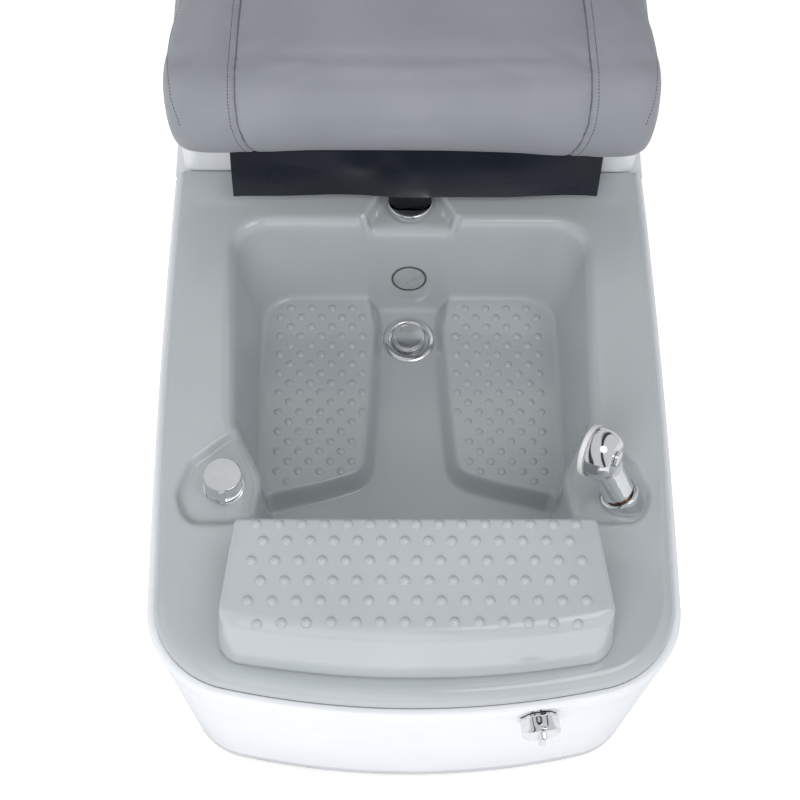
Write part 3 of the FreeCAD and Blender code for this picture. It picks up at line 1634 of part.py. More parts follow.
nodes = {
    "floor_frame": floor_frame, "levelling_feet": levelling_feet, "housing_shell": housing_shell,
    "basin_seal": basin_seal,
    "seat_box": seat_box, "access_panel": access_panel, "access_panel_screws": access_panel_screws,
    "basin": basin,
    "basin_walls": basin_walls, "basin_floor": basin_floor, "foot_pads": foot_pads,
    "footrest": footrest, "footrest_feet": footrest_feet, "spout_disc": spout_disc, "spout_body": spout_body,
    "spout_nut": spout_nut, "mixer_knob": mixer_knob, "mixer_plate": mixer_plate, "mixer_body": mixer_body,
    "mixer_nut": mixer_nut, "spray_collar": spray_collar, "collar_nut": collar_nut,
    "spray_handle": spray_handle,
    "spray_face": spray_face, "spray_trigger": spray_trigger, "spray_hose_stub": spray_stub,
    "drain_flange": drain_flange,
    "drain_body": drain_body, "drain_locknut": drain_locknut, "drain_plug": drain_plug,
    "drain_trap": drain_trap,
    "drain_knob": drain_knob, "drain_knob_plate": drain_knob_plate, "drain_cable": drain_cable,
    "light_ring": light_ring,
    "light_lens": light_lens, "light_body": light_body, "light_nut": light_nut, "light_driver": light_driver,
    "light_cable": light_cable, "hot_inlet": hot_inlet, "cold_inlet": cold_inlet, "hot_hose": hot_hose,
    "cold_hose": cold_hose, "spout_hose": spout_hose, "spray_feed_hose": feed_hose, "seat_rails": seat_rails,
    "slide_carriages": slide_carriages, "release_lever": release_lever, "seat_board": seat_board,
    "seat_bolts": seat_bolts,
    "seat_cushion": seat_cushion, "splash_flap": splash_flap, "flap_batten": flap_batten,
    "back_board": back_board,
    "back_cushion": back_cushion, "back_cover": back_cover, "back_brackets": back_brackets,
}


def middle_of_bench(shapes):
    """Half way between the front of the drain knob and the rear of the back cover."""
    front = min(shapes[name].optimalBoundingBox(False, False).YMin for name in ("drain_knob",
                                                                                "housing_shell"))
    rear = max(shapes[name].optimalBoundingBox(False, False).YMax for name in ("back_cover", "drain_trap"))
    return (front + rear) / 2


def build():
    shapes = {name: make() for name, make in nodes.items()}
    offset = Vec(0, -middle_of_bench(shapes), 0)
    os.makedirs("parts", exist_ok=True)
    for name, shape in shapes.items():
        shape.translate(offset)
        shape.exportStep("parts/" + name + ".step")
    print("stations start at y", round(offset.y, 3))
    return shapes


if __name__ == "__main__":
    build()
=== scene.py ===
import json
import math

import bmesh
import bpy
import numpy as np
from mathutils import Matrix, Vector
from mathutils.bvhtree import BVHTree


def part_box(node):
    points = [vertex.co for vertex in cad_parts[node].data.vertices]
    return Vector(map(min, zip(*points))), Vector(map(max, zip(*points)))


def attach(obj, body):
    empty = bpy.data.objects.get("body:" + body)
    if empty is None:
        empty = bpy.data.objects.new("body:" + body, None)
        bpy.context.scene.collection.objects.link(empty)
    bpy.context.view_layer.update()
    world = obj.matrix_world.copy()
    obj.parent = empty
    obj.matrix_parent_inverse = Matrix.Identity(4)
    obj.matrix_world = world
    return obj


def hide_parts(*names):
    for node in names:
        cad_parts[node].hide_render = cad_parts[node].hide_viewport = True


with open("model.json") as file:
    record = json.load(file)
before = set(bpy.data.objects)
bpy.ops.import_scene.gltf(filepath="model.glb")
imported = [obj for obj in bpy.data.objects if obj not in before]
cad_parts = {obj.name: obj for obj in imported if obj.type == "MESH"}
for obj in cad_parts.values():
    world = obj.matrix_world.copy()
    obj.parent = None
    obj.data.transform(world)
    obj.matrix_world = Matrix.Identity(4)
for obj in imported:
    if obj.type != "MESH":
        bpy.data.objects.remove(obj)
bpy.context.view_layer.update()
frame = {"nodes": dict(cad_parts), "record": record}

# Pedicure bench: grey acrylic foot basin in a white housing, under a grey leatherette seat.
# Stations are millimetres behind the front of the housing rim, as in the part's source.

cadNodes = frame["nodes"]
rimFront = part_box("housing_shell")[0].y
floorLevel = 0.0


def at(x, station, z):
    # a place in metres from millimetres across, behind the rim's front and above the floor
    return Vector((x / 1000, station / 1000 + rimFront, z / 1000))


def raised(plan, level):
    # rows of places in metres from rows of (x, station) and their level, all in millimetres
    heights = np.zeros(plan.shape[:-1]) + level / 1000
    return np.stack([plan[..., 0] / 1000, plan[..., 1] / 1000 + rimFront, heights], axis=-1)


# Camera, lights and floor

view = {
    "place": (-60.0, -857.5, 2549.0), "tiltDegrees": 30.3, "panDegrees": 0.98, "rollDegrees": 0.1,
    "lens": 88.2, "sensor": 36.0,
}
studio = {
    "worldStrength": 0.69,
    "bandsAcross": (0.96, -0.1, 0.26),
    "skyBands": [(0.0, 0.97), (0.27, 0.96), (0.3, 0.08), (0.36, 0.06), (0.39, 0.95), (0.64, 0.95),
                 (0.67, 0.07), (0.72, 0.06), (0.75, 0.96), (1.0, 0.97)],
    "frontLamp": {"place": (-0.45, -3.0, 2.15), "aim": (0.0, -0.1, 0.3), "size": 2.2, "watts": 52.0,
                  "mirrored": False},
    "topLamp": {"place": (0.9, -1.0, 3.2), "aim": (0.0, -0.1, 0.3), "size": 1.5, "watts": 12.5,
                "mirrored": True},
    "sideLamp": {"place": (-2.6, 0.3, 1.9), "aim": (0.0, -0.2, 0.4), "size": 1.3, "watts": 12.0,
                 "mirrored": False},
    "floorColour": (0.96, 0.965, 0.97), "floorGlow": 0.42, "floorHalf": 6.0,
}


def makeCamera():
    data = bpy.data.cameras.new("benchCamera")
    data.lens = view["lens"]
    data.sensor_width = view["sensor"]
    data.clip_end = 50
    camera = bpy.data.objects.new("benchCamera", data)
    bpy.context.scene.collection.objects.link(camera)
    camera.location = at(*view["place"])
    tilt = Matrix.Rotation(math.radians(view["tiltDegrees"]), 4, "X")
    pan = Matrix.Rotation(-math.radians(view["panDegrees"]), 4, "Y")
    roll = Matrix.Rotation(math.radians(view["rollDegrees"]), 4, "Z")
    camera.matrix_world = Matrix.Translation(camera.location) @ tilt @ pan @ roll
    bpy.context.scene.camera = camera


def makeLamp(name, values):
    data = bpy.data.lights.new(name, "AREA")
    data.shape = "DISK"
    data.size = values["size"]
    data.energy = values["watts"]
    lamp = bpy.data.objects.new(name, data)
    bpy.context.scene.collection.objects.link(lamp)
    lamp.location = values["place"]
    aim = Vector(values["aim"]) - Vector(values["place"])
    lamp.rotation_euler = aim.to_track_quat("-Z", "Y").to_euler()
    lamp.visible_glossy = values["mirrored"]


def makeStudio():
    for name in ("frontLamp", "topLamp", "sideLamp"):
        makeLamp(name, studio[name])
    world = bpy.data.worlds.new("studioWorld")
    bpy.context.scene.world = world
    world.use_nodes = True
    tree = world.node_tree
    background = tree.nodes["Background"]
    place = tree.nodes.new("ShaderNodeTexCoord")
    towards = tree.nodes.new("ShaderNodeVectorMath")
    towards.operation = "DOT_PRODUCT"
    towards.inputs[1].default_value = studio["bandsAcross"]
    nearness = tree.nodes.new("ShaderNodeMapRange")
    nearness.inputs["From Min"].default_value = -1.0
    bands = tree.nodes.new("ShaderNodeValToRGB")
    tree.links.new(place.outputs["Generated"], towards.inputs[0])
    tree.links.new(towards.outputs["Value"], nearness.inputs["Value"])
    tree.links.new(nearness.outputs["Result"], bands.inputs["Fac"])
    ramp = bands.color_ramp.elements
    while len(ramp) < len(studio["skyBands"]):
        ramp.new(0.5)
    for element, (position, level) in zip(ramp, studio["skyBands"]):
        element.position = position
        element.color = (level * 0.985, level, level * 1.015, 1)
    path = tree.nodes.new("ShaderNodeLightPath")
    backdrop = tree.nodes.new("ShaderNodeMix")
    backdrop.data_type = "RGBA"
    backdrop.inputs["B"].default_value = (1, 1, 1, 1)
    tree.links.new(bands.outputs["Color"], backdrop.inputs["A"])
    tree.links.new(path.outputs["Is Camera Ray"], backdrop.inputs["Factor"])
    tree.links.new(backdrop.outputs["Result"], background.inputs["Color"])
    seen = tree.nodes.new("ShaderNodeMapRange")
    seen.inputs["To Min"].default_value = studio["worldStrength"]
    seen.inputs["To Max"].default_value = 1.0
    tree.links.new(path.outputs["Is Camera Ray"], seen.inputs["Value"])
    tree.links.new(seen.outputs["Result"], background.inputs["Strength"])
    bm = bmesh.new()
    bmesh.ops.create_grid(bm, x_segments=1, y_segments=1, size=studio["floorHalf"])
    floor = pieceFrom(bm, "studioFloor")
    floor.data.transform(Matrix.Translation((0, 0, floorLevel)))
    floor.data.materials.append(floorMaterial())
    bpy.context.scene.view_settings.view_transform = "Standard"


def floorMaterial():
    material = bpy.data.materials.new("studioFloor")
    material.use_nodes = True
    tree = material.node_tree
    shader = tree.nodes["Principled BSDF"]
    shader.inputs["Base Color"].default_value = (*studio["floorColour"], 1)
    shader.inputs["Roughness"].default_value = 0.85
    shader.inputs["Specular IOR Level"].default_value = 0.1
    path = tree.nodes.new("ShaderNodeLightPath")
    glow = tree.nodes.new("ShaderNodeMapRange")
    glow.inputs["To Max"].default_value = studio["floorGlow"]
    shader.inputs["Emission Color"].default_value = (1, 1, 1, 1)
    tree.links.new(path.outputs["Is Camera Ray"], glow.inputs["Value"])
    tree.links.new(glow.outputs["Result"], shader.inputs["Emission Strength"])
    return material


# Mesh helpers

def pieceFrom(bm, name, smooth=True):
    mesh = bpy.data.meshes.new(name)
    bm.to_mesh(mesh)
    bm.free()
    piece = bpy.data.objects.new(name, mesh)
    bpy.context.scene.collection.objects.link(piece)
    for polygon in mesh.polygons:
        polygon.use_smooth = smooth
    return piece


def tidyMesh(bm, merge=0.00001):
    bmesh.ops.remove_doubles(bm, verts=bm.verts, dist=merge)
    bmesh.ops.dissolve_degenerate(bm, edges=bm.edges, dist=merge)
    bmesh.ops.recalc_face_normals(bm, faces=bm.faces)


def wrappedGrid(name, places):
    # a grid bent so that its rows follow rings of places, and its ends meet
    rows, columns = places.shape[0], places.shape[1]
    bm = bmesh.new()
    bmesh.ops.create_grid(bm, x_segments=columns, y_segments=rows - 1, size=0.5)
    ordered = sorted(bm.verts, key=lambda v: (round(v.co.y, 6), round(v.co.x, 6)))
    closed = np.concatenate([places, places[:, :1]], axis=1).reshape(-1, 3)
    for vertex, place in zip(ordered, closed):
        vertex.co = place
    tidyMesh(bm)
    return pieceFrom(bm, name)


def spunBody(bm, profile, steps=72):
    # a profile of (radius, height) pairs spun round Z
    points = [bm.verts.new((radius, 0, height)) for radius, height in profile]
    edges = [bm.edges.new(pair) for pair in zip(points, points[1:])]
    bmesh.ops.spin(bm, geom=points + edges, cent=(0, 0, 0), axis=(0, 0, 1), angle=math.tau, steps=steps,
                   use_merge=True, use_duplicate=False)
    tidyMesh(bm)


def softCorners(profile, reach, steps=4):
    # rounds each inner corner of an open profile
    smooth = [profile[0]]
    for before, here, after in zip(profile, profile[1:], profile[2:]):
        p, q, r = Vector(before), Vector(here), Vector(after)
        near = min(reach, (p - q).length * 0.48, (r - q).length * 0.48)
        start, end = q + (p - q).normalized() * near, q + (r - q).normalized() * near
        for step in range(steps + 1):
            t = step / steps
            smooth.append(tuple(start * (1 - t) ** 2 + q * 2 * t * (1 - t) + end * t ** 2))
    smooth.append(profile[-1])
    return smooth


def standUp(piece, place, direction, upright=None):
    # moves a piece made about +Z so that it stands at a place along a direction
    axis = Vector(direction).normalized()
    side = Vector(upright) if upright else (Vector((0, 1, 0)) if abs(axis.y) < 0.9 else Vector((0, 0, 1)))
    across = side.cross(axis).normalized()
    upward = axis.cross(across)
    turn = Matrix((across, upward, axis)).transposed().to_4x4()
    piece.data.transform(Matrix.Translation(place) @ turn)
    return piece


def finishPiece(piece, body, materialName, replaced=()):
    piece.data.materials.clear()
    piece.data.materials.append(finishes[materialName])
    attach(piece, body)
    if replaced:
        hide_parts(*replaced)
    return piece


# Finishes

finishes = {}
finishValues = {
    "acrylicGrey": {"colours": ((0.44, 0.472, 0.484), (0.468, 0.5, 0.512)), "patch": 5.0,
                    "rough": (0.13, 0.2), "roughPatch": 22.0, "bumpScale": 160.0, "bump": 0.02, "coat": 0.6,
                    "coatRough": 0.05},
    "footrestGrey": {"colours": ((0.45, 0.482, 0.498), (0.478, 0.51, 0.526)), "patch": 6.0,
                     "rough": (0.15, 0.23), "roughPatch": 26.0, "bumpScale": 200.0, "bump": 0.03,
                     "coat": 0.5, "coatRough": 0.07},
    "gelCoatWhite": {"colours": ((0.8, 0.825, 0.86), (0.845, 0.865, 0.895)), "patch": 4.0,
                     "rough": (0.16, 0.25), "roughPatch": 18.0, "bumpScale": 120.0, "bump": 0.03,
                     "coat": 0.5, "coatRough": 0.06},
    "chromePlate": {"colours": ((0.77, 0.78, 0.8), (0.83, 0.84, 0.855)), "patch": 30.0, "rough": (0.05, 0.1),
                    "roughPatch": 60.0, "bumpScale": 300.0, "bump": 0.008, "metal": 1.0},
    "chromeSatin": {"colours": ((0.7, 0.715, 0.73), (0.77, 0.78, 0.795)), "patch": 30.0,
                    "rough": (0.16, 0.22), "roughPatch": 60.0, "bumpScale": 300.0, "bump": 0.01,
                    "metal": 1.0},
    "whitePlastic": {"colours": ((0.78, 0.78, 0.77), (0.83, 0.83, 0.82)), "patch": 40.0, "rough": (0.3, 0.38),
                     "roughPatch": 80.0, "bumpScale": 900.0, "bump": 0.04},
    "ringGrey": {"colours": ((0.07, 0.072, 0.075), (0.1, 0.102, 0.105)), "patch": 40.0, "rough": (0.3, 0.42),
                 "roughPatch": 90.0, "bumpScale": 900.0, "bump": 0.05},
    "lensFrost": {"colours": ((0.36, 0.385, 0.385), (0.42, 0.44, 0.44)), "patch": 60.0, "rough": (0.22, 0.32),
                  "roughPatch": 90.0, "bumpScale": 700.0, "bump": 0.05, "coat": 0.5, "coatRough": 0.08},
    "copperBand": {"colours": ((0.36, 0.17, 0.09), (0.48, 0.25, 0.14)), "patch": 60.0, "rough": (0.2, 0.34),
                   "roughPatch": 80.0, "bumpScale": 400.0, "bump": 0.02, "metal": 1.0},
    "weltDark": {"colours": ((0.115, 0.122, 0.135), (0.15, 0.158, 0.172)), "patch": 40.0,
                 "rough": (0.42, 0.55), "roughPatch": 90.0, "bumpScale": 1400.0, "bump": 0.12},
    "threadDark": {"colours": ((0.025, 0.027, 0.032), (0.045, 0.048, 0.055)), "patch": 80.0,
                   "rough": (0.55, 0.7), "roughPatch": 200.0, "bumpScale": 3000.0, "bump": 0.2},
    "threadBlack": {"colours": ((0.03, 0.034, 0.044), (0.055, 0.06, 0.072)), "patch": 80.0,
                    "rough": (0.5, 0.65), "roughPatch": 200.0, "bumpScale": 3000.0, "bump": 0.2},
    "brassTurned": {"colours": ((0.58, 0.42, 0.18), (0.68, 0.51, 0.25)), "patch": 50.0, "rough": (0.22, 0.4),
                    "roughPatch": 70.0, "bumpScale": 500.0, "bump": 0.05, "metal": 1.0},
    "plasticBlack": {"colours": ((0.022, 0.022, 0.024), (0.035, 0.035, 0.037)), "patch": 30.0,
                     "rough": (0.45, 0.6), "roughPatch": 70.0, "bumpScale": 1200.0, "bump": 0.12},
    "hoseRubber": {"colours": ((0.09, 0.09, 0.095), (0.14, 0.14, 0.145)), "patch": 60.0, "rough": (0.5, 0.65),
                   "roughPatch": 80.0, "bumpScale": 700.0, "bump": 0.15},
    "framePaint": {"colours": ((0.075, 0.077, 0.082), (0.1, 0.102, 0.108)), "patch": 12.0,
                   "rough": (0.35, 0.5), "roughPatch": 40.0, "bumpScale": 800.0, "bump": 0.12},
    "zincSteel": {"colours": ((0.5, 0.51, 0.52), (0.62, 0.62, 0.62)), "patch": 35.0, "rough": (0.25, 0.42),
                  "roughPatch": 50.0, "bumpScale": 350.0, "bump": 0.05, "metal": 1.0},
    "rubberSoft": {"colours": ((0.035, 0.035, 0.036), (0.055, 0.055, 0.056)), "patch": 50.0,
                   "rough": (0.65, 0.8), "roughPatch": 90.0, "bumpScale": 1000.0, "bump": 0.15},
}


def newFinish(name):
    material = bpy.data.materials.new(name)
    material.use_nodes = True
    tree = material.node_tree
    finishes[name] = material
    return tree, tree.nodes["Principled BSDF"]


def noiseNode(tree, scale, detail=3.0, stretch=None):
    place = tree.nodes.new("ShaderNodeTexCoord")
    texture = tree.nodes.new("ShaderNodeTexNoise")
    texture.inputs["Scale"].default_value = scale
    texture.inputs["Detail"].default_value = detail
    source = place.outputs["Object"]
    if stretch:
        mapping = tree.nodes.new("ShaderNodeMapping")
        mapping.inputs["Scale"].default_value = stretch
        tree.links.new(source, mapping.inputs["Vector"])
        source = mapping.outputs["Vector"]
    tree.links.new(source, texture.inputs["Vector"])
    return texture


def rampBetween(tree, source, low, high, start=0.35, end=0.65):
    ramp = tree.nodes.new("ShaderNodeValToRGB")
    ramp.color_ramp.elements[0].position = start
    ramp.color_ramp.elements[1].position = end
    ramp.color_ramp.elements[0].color = (*low, 1)
    ramp.color_ramp.elements[1].color = (*high, 1)
    tree.links.new(source, ramp.inputs["Fac"])
    return ramp


def rangeBetween(tree, source, low, high, start=0.3, end=0.7):
    spread = tree.nodes.new("ShaderNodeMapRange")
    spread.inputs["From Min"].default_value = start
    spread.inputs["From Max"].default_value = end
    spread.inputs["To Min"].default_value = low
    spread.inputs["To Max"].default_value = high
    tree.links.new(source, spread.inputs["Value"])
    return spread


def bumpFrom(tree, height, strength, distance=0.001, normal=None):
    bump = tree.nodes.new("ShaderNodeBump")
    bump.inputs["Strength"].default_value = strength
    bump.inputs["Distance"].default_value = distance
    tree.links.new(height, bump.inputs["Height"])
    if normal:
        tree.links.new(normal, bump.inputs["Normal"])
    return bump


def plainFinish(name, values):
    # drifting colour, uneven gloss and a faint surface bump
    tree, shader = newFinish(name)
    low, high = values["colours"]
    patch = noiseNode(tree, values["patch"])
    tree.links.new(rampBetween(tree, patch.outputs["Fac"], low, high).outputs["Color"],
                   shader.inputs["Base Color"])
    gloss = noiseNode(tree, values["roughPatch"], 5.0)
    spread = rangeBetween(tree, gloss.outputs["Fac"], *values["rough"])
    tree.links.new(spread.outputs["Result"], shader.inputs["Roughness"])
    fine = noiseNode(tree, values["bumpScale"], 2.0)
    bump = bumpFrom(tree, fine.outputs["Fac"], values["bump"])
    tree.links.new(bump.outputs["Normal"], shader.inputs["Normal"])
    shader.inputs["Metallic"].default_value = values.get("metal", 0.0)
    if "coat" in values:
        shader.inputs["Coat Weight"].default_value = values["coat"]
        shader.inputs["Coat Roughness"].default_value = values["coatRough"]


leatherValues = {
    "leatherGrey": {"colours": ((0.272, 0.286, 0.314), (0.307, 0.321, 0.35)), "rough": (0.42, 0.52),
                    "grain": 850.0, "grainBump": 0.16, "creaseScale": 9.0, "creaseBump": 0.12,
                    "sheen": 0.08},
    "vinylBlack": {"colours": ((0.003, 0.0048, 0.012), (0.0055, 0.008, 0.018)), "rough": (0.27, 0.35),
                   "grain": 1100.0, "grainBump": 0.1, "creaseScale": 7.0, "creaseBump": 0.1, "sheen": 0.05},
}


def leatherFinish(name, values):
    # pebbled grain from cells, with slow creases under it and a little sheen
    tree, shader = newFinish(name)
    low, high = values["colours"]
    patch = noiseNode(tree, 7.0, 4.0)
    tree.links.new(rampBetween(tree, patch.outputs["Fac"], low, high).outputs["Color"],
                   shader.inputs["Base Color"])
    gloss = noiseNode(tree, 30.0, 4.0)
    spread = rangeBetween(tree, gloss.outputs["Fac"], *values["rough"])
    tree.links.new(spread.outputs["Result"], shader.inputs["Roughness"])
    crease = noiseNode(tree, values["creaseScale"], 3.0)
    slow = bumpFrom(tree, crease.outputs["Fac"], values["creaseBump"], 0.006)
    place = tree.nodes.new("ShaderNodeTexCoord")
    cells = tree.nodes.new("ShaderNodeTexVoronoi")
    cells.inputs["Scale"].default_value = values["grain"]
    tree.links.new(place.outputs["Object"], cells.inputs["Vector"])
    grain = bumpFrom(tree, cells.outputs["Distance"], values["grainBump"], 0.0004, slow.outputs["Normal"])
    tree.links.new(grain.outputs["Normal"], shader.inputs["Normal"])
    shader.inputs["Sheen Weight"].default_value = values["sheen"]
    shader.inputs["Sheen Roughness"].default_value = 0.4


def woodFinish():
    # birch ply: long grain lines with a soft figure
    tree, shader = newFinish("birchPly")
    lines = noiseNode(tree, 14.0, 6.0, (1.0, 14.0, 14.0))
    colour = rampBetween(tree, lines.outputs["Fac"], (0.46, 0.32, 0.18), (0.64, 0.49, 0.31))
    tree.links.new(colour.outputs["Color"], shader.inputs["Base Color"])
    gloss = rangeBetween(tree, lines.outputs["Fac"], 0.45, 0.62)
    tree.links.new(gloss.outputs["Result"], shader.inputs["Roughness"])
    tree.links.new(bumpFrom(tree, lines.outputs["Fac"], 0.15).outputs["Normal"], shader.inputs["Normal"])


def makeFinishes():
    for name, values in finishValues.items():
        plainFinish(name, values)
    for name, values in leatherValues.items():
        leatherFinish(name, values)
    woodFinish()


slotFinish = {
    "white_gel_coat": "gelCoatWhite", "basin_acrylic": "acrylicGrey", "footrest_acrylic": "footrestGrey",
    "chrome": "chromePlate", "white_plastic": "whitePlastic", "dark_ring": "ringGrey", "lens": "lensFrost",
    "brass_fitting": "brassTurned", "black_plastic": "plasticBlack", "hose_rubber": "hoseRubber",
    "frame_paint": "framePaint", "steel": "zincSteel", "soft_rubber": "rubberSoft", "plywood": "birchPly",
    "grey_leatherette": "leatherGrey", "black_vinyl": "vinylBlack",
}


def dressNodes():
    # every source solid gets the finish of its slot, before the scene's own pieces replace some
    for part in frame["record"]["subparts"]:
        node = cadNodes[part["node"]]
        node.data.materials.clear()
        node.data.materials.append(finishes[slotFinish[part["material_slot"]]])


# Plan outlines, in millimetres

rim = {
    "frontRadius": 1060.0, "cornerRadius": 122.0, "halfWidth": 333.0, "sideBow": 5.0, "wall": 800.0,
}


def arcPoints(first, middle, last, count):
    # points on the circle through three places
    a, b, c = (np.array(p, float) for p in (first, middle, last))
    d = 2 * (a[0] * (b[1] - c[1]) + b[0] * (c[1] - a[1]) + c[0] * (a[1] - b[1]))
    ux = ((a @ a) * (b[1] - c[1]) + (b @ b) * (c[1] - a[1]) + (c @ c) * (a[1] - b[1])) / d
    uy = ((a @ a) * (c[0] - b[0]) + (b @ b) * (a[0] - c[0]) + (c @ c) * (b[0] - a[0])) / d
    centre = np.array([ux, uy])
    start = math.atan2(*(a - centre)[::-1])
    end = math.atan2(*(c - centre)[::-1])
    turn = (end - start + math.pi) % math.tau - math.pi
    radius = np.linalg.norm(a - centre)
    angles = start + turn * np.linspace(0, 1, count)
    return centre + radius * np.stack([np.cos(angles), np.sin(angles)], axis=1)


def rimOutline(inset, rear):
    # right half from the rear to the middle of the front, then mirrored
    front = rim["frontRadius"] - inset
    corner = rim["cornerRadius"] - inset
    centreX = rim["halfWidth"] - rim["sideBow"] / 2 - rim["cornerRadius"]
    centreY = rim["frontRadius"] - math.sqrt((rim["frontRadius"] - rim["cornerRadius"]) ** 2 - centreX ** 2)
    lean = math.asin(centreX / (rim["frontRadius"] - rim["cornerRadius"]))
    half = (math.pi / 2 - lean) / 2
    tangent = (front * math.sin(lean), rim["frontRadius"] - front * math.cos(lean))
    middle = (centreX + corner * math.sin(lean + half), centreY - corner * math.cos(lean + half))
    sideStart = (centreX + corner, centreY)
    sideMiddle = (rim["halfWidth"] - inset, (centreY + rim["wall"]) / 2)
    sideEnd = (rim["halfWidth"] - rim["sideBow"] - inset, rear)
    side = arcPoints(sideEnd, sideMiddle, sideStart, 90)
    bend = arcPoints(sideStart, middle, tangent, 40)
    face = arcPoints(tangent, (0, inset), (-tangent[0], tangent[1]), 90)
    right = np.concatenate([side[:-1], bend[:-1], face[:45]])
    left = right[::-1] * np.array([-1, 1])
    return np.concatenate([right, [[0, inset]], left])


def roundedOutline(corners, steps=10):
    # closed outline from (x, station, radius) corners
    points = []
    count = len(corners)
    for index in range(count):
        here = np.array(corners[index][:2], float)
        before = np.array(corners[index - 1][:2], float) - here
        after = np.array(corners[(index + 1) % count][:2], float) - here
        before /= np.linalg.norm(before)
        after /= np.linalg.norm(after)
        half = math.acos(np.clip(before @ after, -1, 1)) / 2
        reach = corners[index][2] / math.tan(half)
        depth = corners[index][2] / math.sin(half) - corners[index][2]
        inward = (before + after) / np.linalg.norm(before + after)
        points.extend(arcPoints(here + before * reach, here + inward * depth, here + after * reach, steps))
    return np.array(points)


def mirroredCorners(corners):
    return list(corners) + [(-x, y, r) for x, y, r in reversed(corners)]


def evenly(outline, step=2.0, count=None):
    # points at even steps along a closed outline, or a given number of them
    closed = np.concatenate([outline, outline[:1]])
    runs = np.linalg.norm(np.diff(closed, axis=0), axis=1)
    along = np.concatenate([[0], np.cumsum(runs)])
    marks = np.linspace(0, along[-1], count or int(along[-1] / step), endpoint=False)
    return np.stack([np.interp(marks, along, closed[:, k]) for k in (0, 1)], axis=1)


def reachAlong(outline, centre, angles):
    # distance from a centre to a star-shaped outline at each angle
    dense = evenly(outline, 1.0) - centre
    bearing = np.arctan2(dense[:, 1], dense[:, 0])
    order = np.argsort(bearing)
    return np.interp(angles, bearing[order], np.linalg.norm(dense, axis=1)[order], period=math.tau)


def insideDistance(outline, points):
    # how far each point is inside an outline; negative outside
    ends = np.roll(outline, -1, axis=0)
    runs = ends - outline
    lengths = (runs ** 2).sum(axis=1)
    best = np.full(len(points), 1e9)
    inside = np.zeros(len(points), bool)
    for start, run, length, end in zip(outline, runs, lengths, ends):
        if length < 1e-9:
            continue
        share = np.clip(((points - start) @ run) / length, 0, 1)
        gap = points - start - share[:, None] * run
        best = np.minimum(best, (gap ** 2).sum(axis=1))
        crosses = (start[1] > points[:, 1]) != (end[1] > points[:, 1])
        if crosses.any():
            side = run[0] * (points[:, 1] - start[1]) / (run[1] if run[1] else 1e-9) + start[0]
            inside ^= crosses & (points[:, 0] < side)
    return np.where(inside, 1, -1) * np.sqrt(best)


def eased(values):
    # 0 to 1 with soft ends
    t = np.clip(values, 0, 1)
    return t * t * (3 - 2 * t)


# Foot basin

basin = {
    "deck": 350.0, "depth": 175.0, "lip": 20.0, "wall": 6.0, "inset": 10.0, "centre": (0.0, 480.0),
    "rays": 600, "rayTurn": 0.0026, "innerRings": (4.0, 14.0, 26.0, 36.0), "point": 0.002,
    "floorRings": 58, "deckRings": 40, "wallRings": 6, "roundRings": 6, "rollRings": 7,
    "rimCorners": [(242.0, 708.0, 46.0), (232.0, 398.0, 60.0), (191.0, 318.0, 50.0), (207.0, 228.0, 30.0)],
    "baseCorners": [(203.0, 681.0, 52.0), (203.0, 404.0, 60.0), (186.0, 332.0, 50.0), (180.0, 258.0, 40.0)],
    "rimRound": 18.0, "baseRound": 9.0, "frontRoll": 18.0, "sideRoll": 7.0,
    "padCorners": [(230.0, 720.0, 10.0), (230.0, 350.0, 10.0), (118.0, 378.0, 50.0), (58.0, 398.0, 34.0),
                   (49.0, 520.0, 120.0), (43.0, 640.0, 40.0), (56.0, 720.0, 10.0)],
    "padHeight": 27.0, "padSlope": 19.0,
    "earCorners": [(206.0, 404.0, 12.0), (285.0, 336.0, 30.0), (302.0, 290.0, 40.0), (286.0, 249.0, 26.0),
                   (236.0, 249.0, 30.0), (180.0, 262.0, 12.0), (170.0, 330.0, 12.0)],
    "earDepth": 10.0, "earSlope": 9.0,
    "notchCorners": [(86.0, 640.0, 4.0), (72.0, 700.0, 14.0), (45.0, 755.0, 10.0), (34.0, 789.0, 7.0)],
    "notchDepth": 20.0, "notchSlope": 9.0,
}


def deckLevel(points):
    # the deck with its two ears and the spout's notch let into it
    ear = evenly(roundedOutline(basin["earCorners"]), 6.0)
    drop = np.zeros(len(points))
    for side in (1, -1):
        inside = insideDistance(ear, points * np.array([side, 1]))
        drop = np.maximum(drop, basin["earDepth"] * eased(inside / basin["earSlope"] + 0.35))
    notch = evenly(roundedOutline(mirroredCorners(basin["notchCorners"])), 6.0)
    inside = insideDistance(notch, points)
    drop = np.maximum(drop, basin["notchDepth"] * eased(inside / basin["notchSlope"] + 0.25))
    return basin["deck"] - drop


def floorHeight(points):
    # the bowl's bottom with its two foot pads
    pad = evenly(roundedOutline(basin["padCorners"]), 6.0)
    rise = np.zeros(len(points))
    for side in (1, -1):
        inside = insideDistance(pad, points * np.array([side, 1]))
        rise = np.maximum(rise, basin["padHeight"] * eased(inside / basin["padSlope"] + 0.5))
    return basin["deck"] - basin["depth"] + rise


def filletProfile(lowReach, lowLevel, slopeReach, slopeLevel, highReach, highLevel, steps):
    # eases the corner between a level run and a slope, on every ray at once
    t = np.linspace(0, 1, steps)[:, None]
    start = np.stack([lowReach, lowLevel], axis=1)[None]
    corner = np.stack([slopeReach, slopeLevel], axis=1)[None]
    end = np.stack([highReach, highLevel], axis=1)[None]
    t = t[:, :, None]
    return start * (1 - t) ** 2 + corner * 2 * t * (1 - t) + end * t ** 2


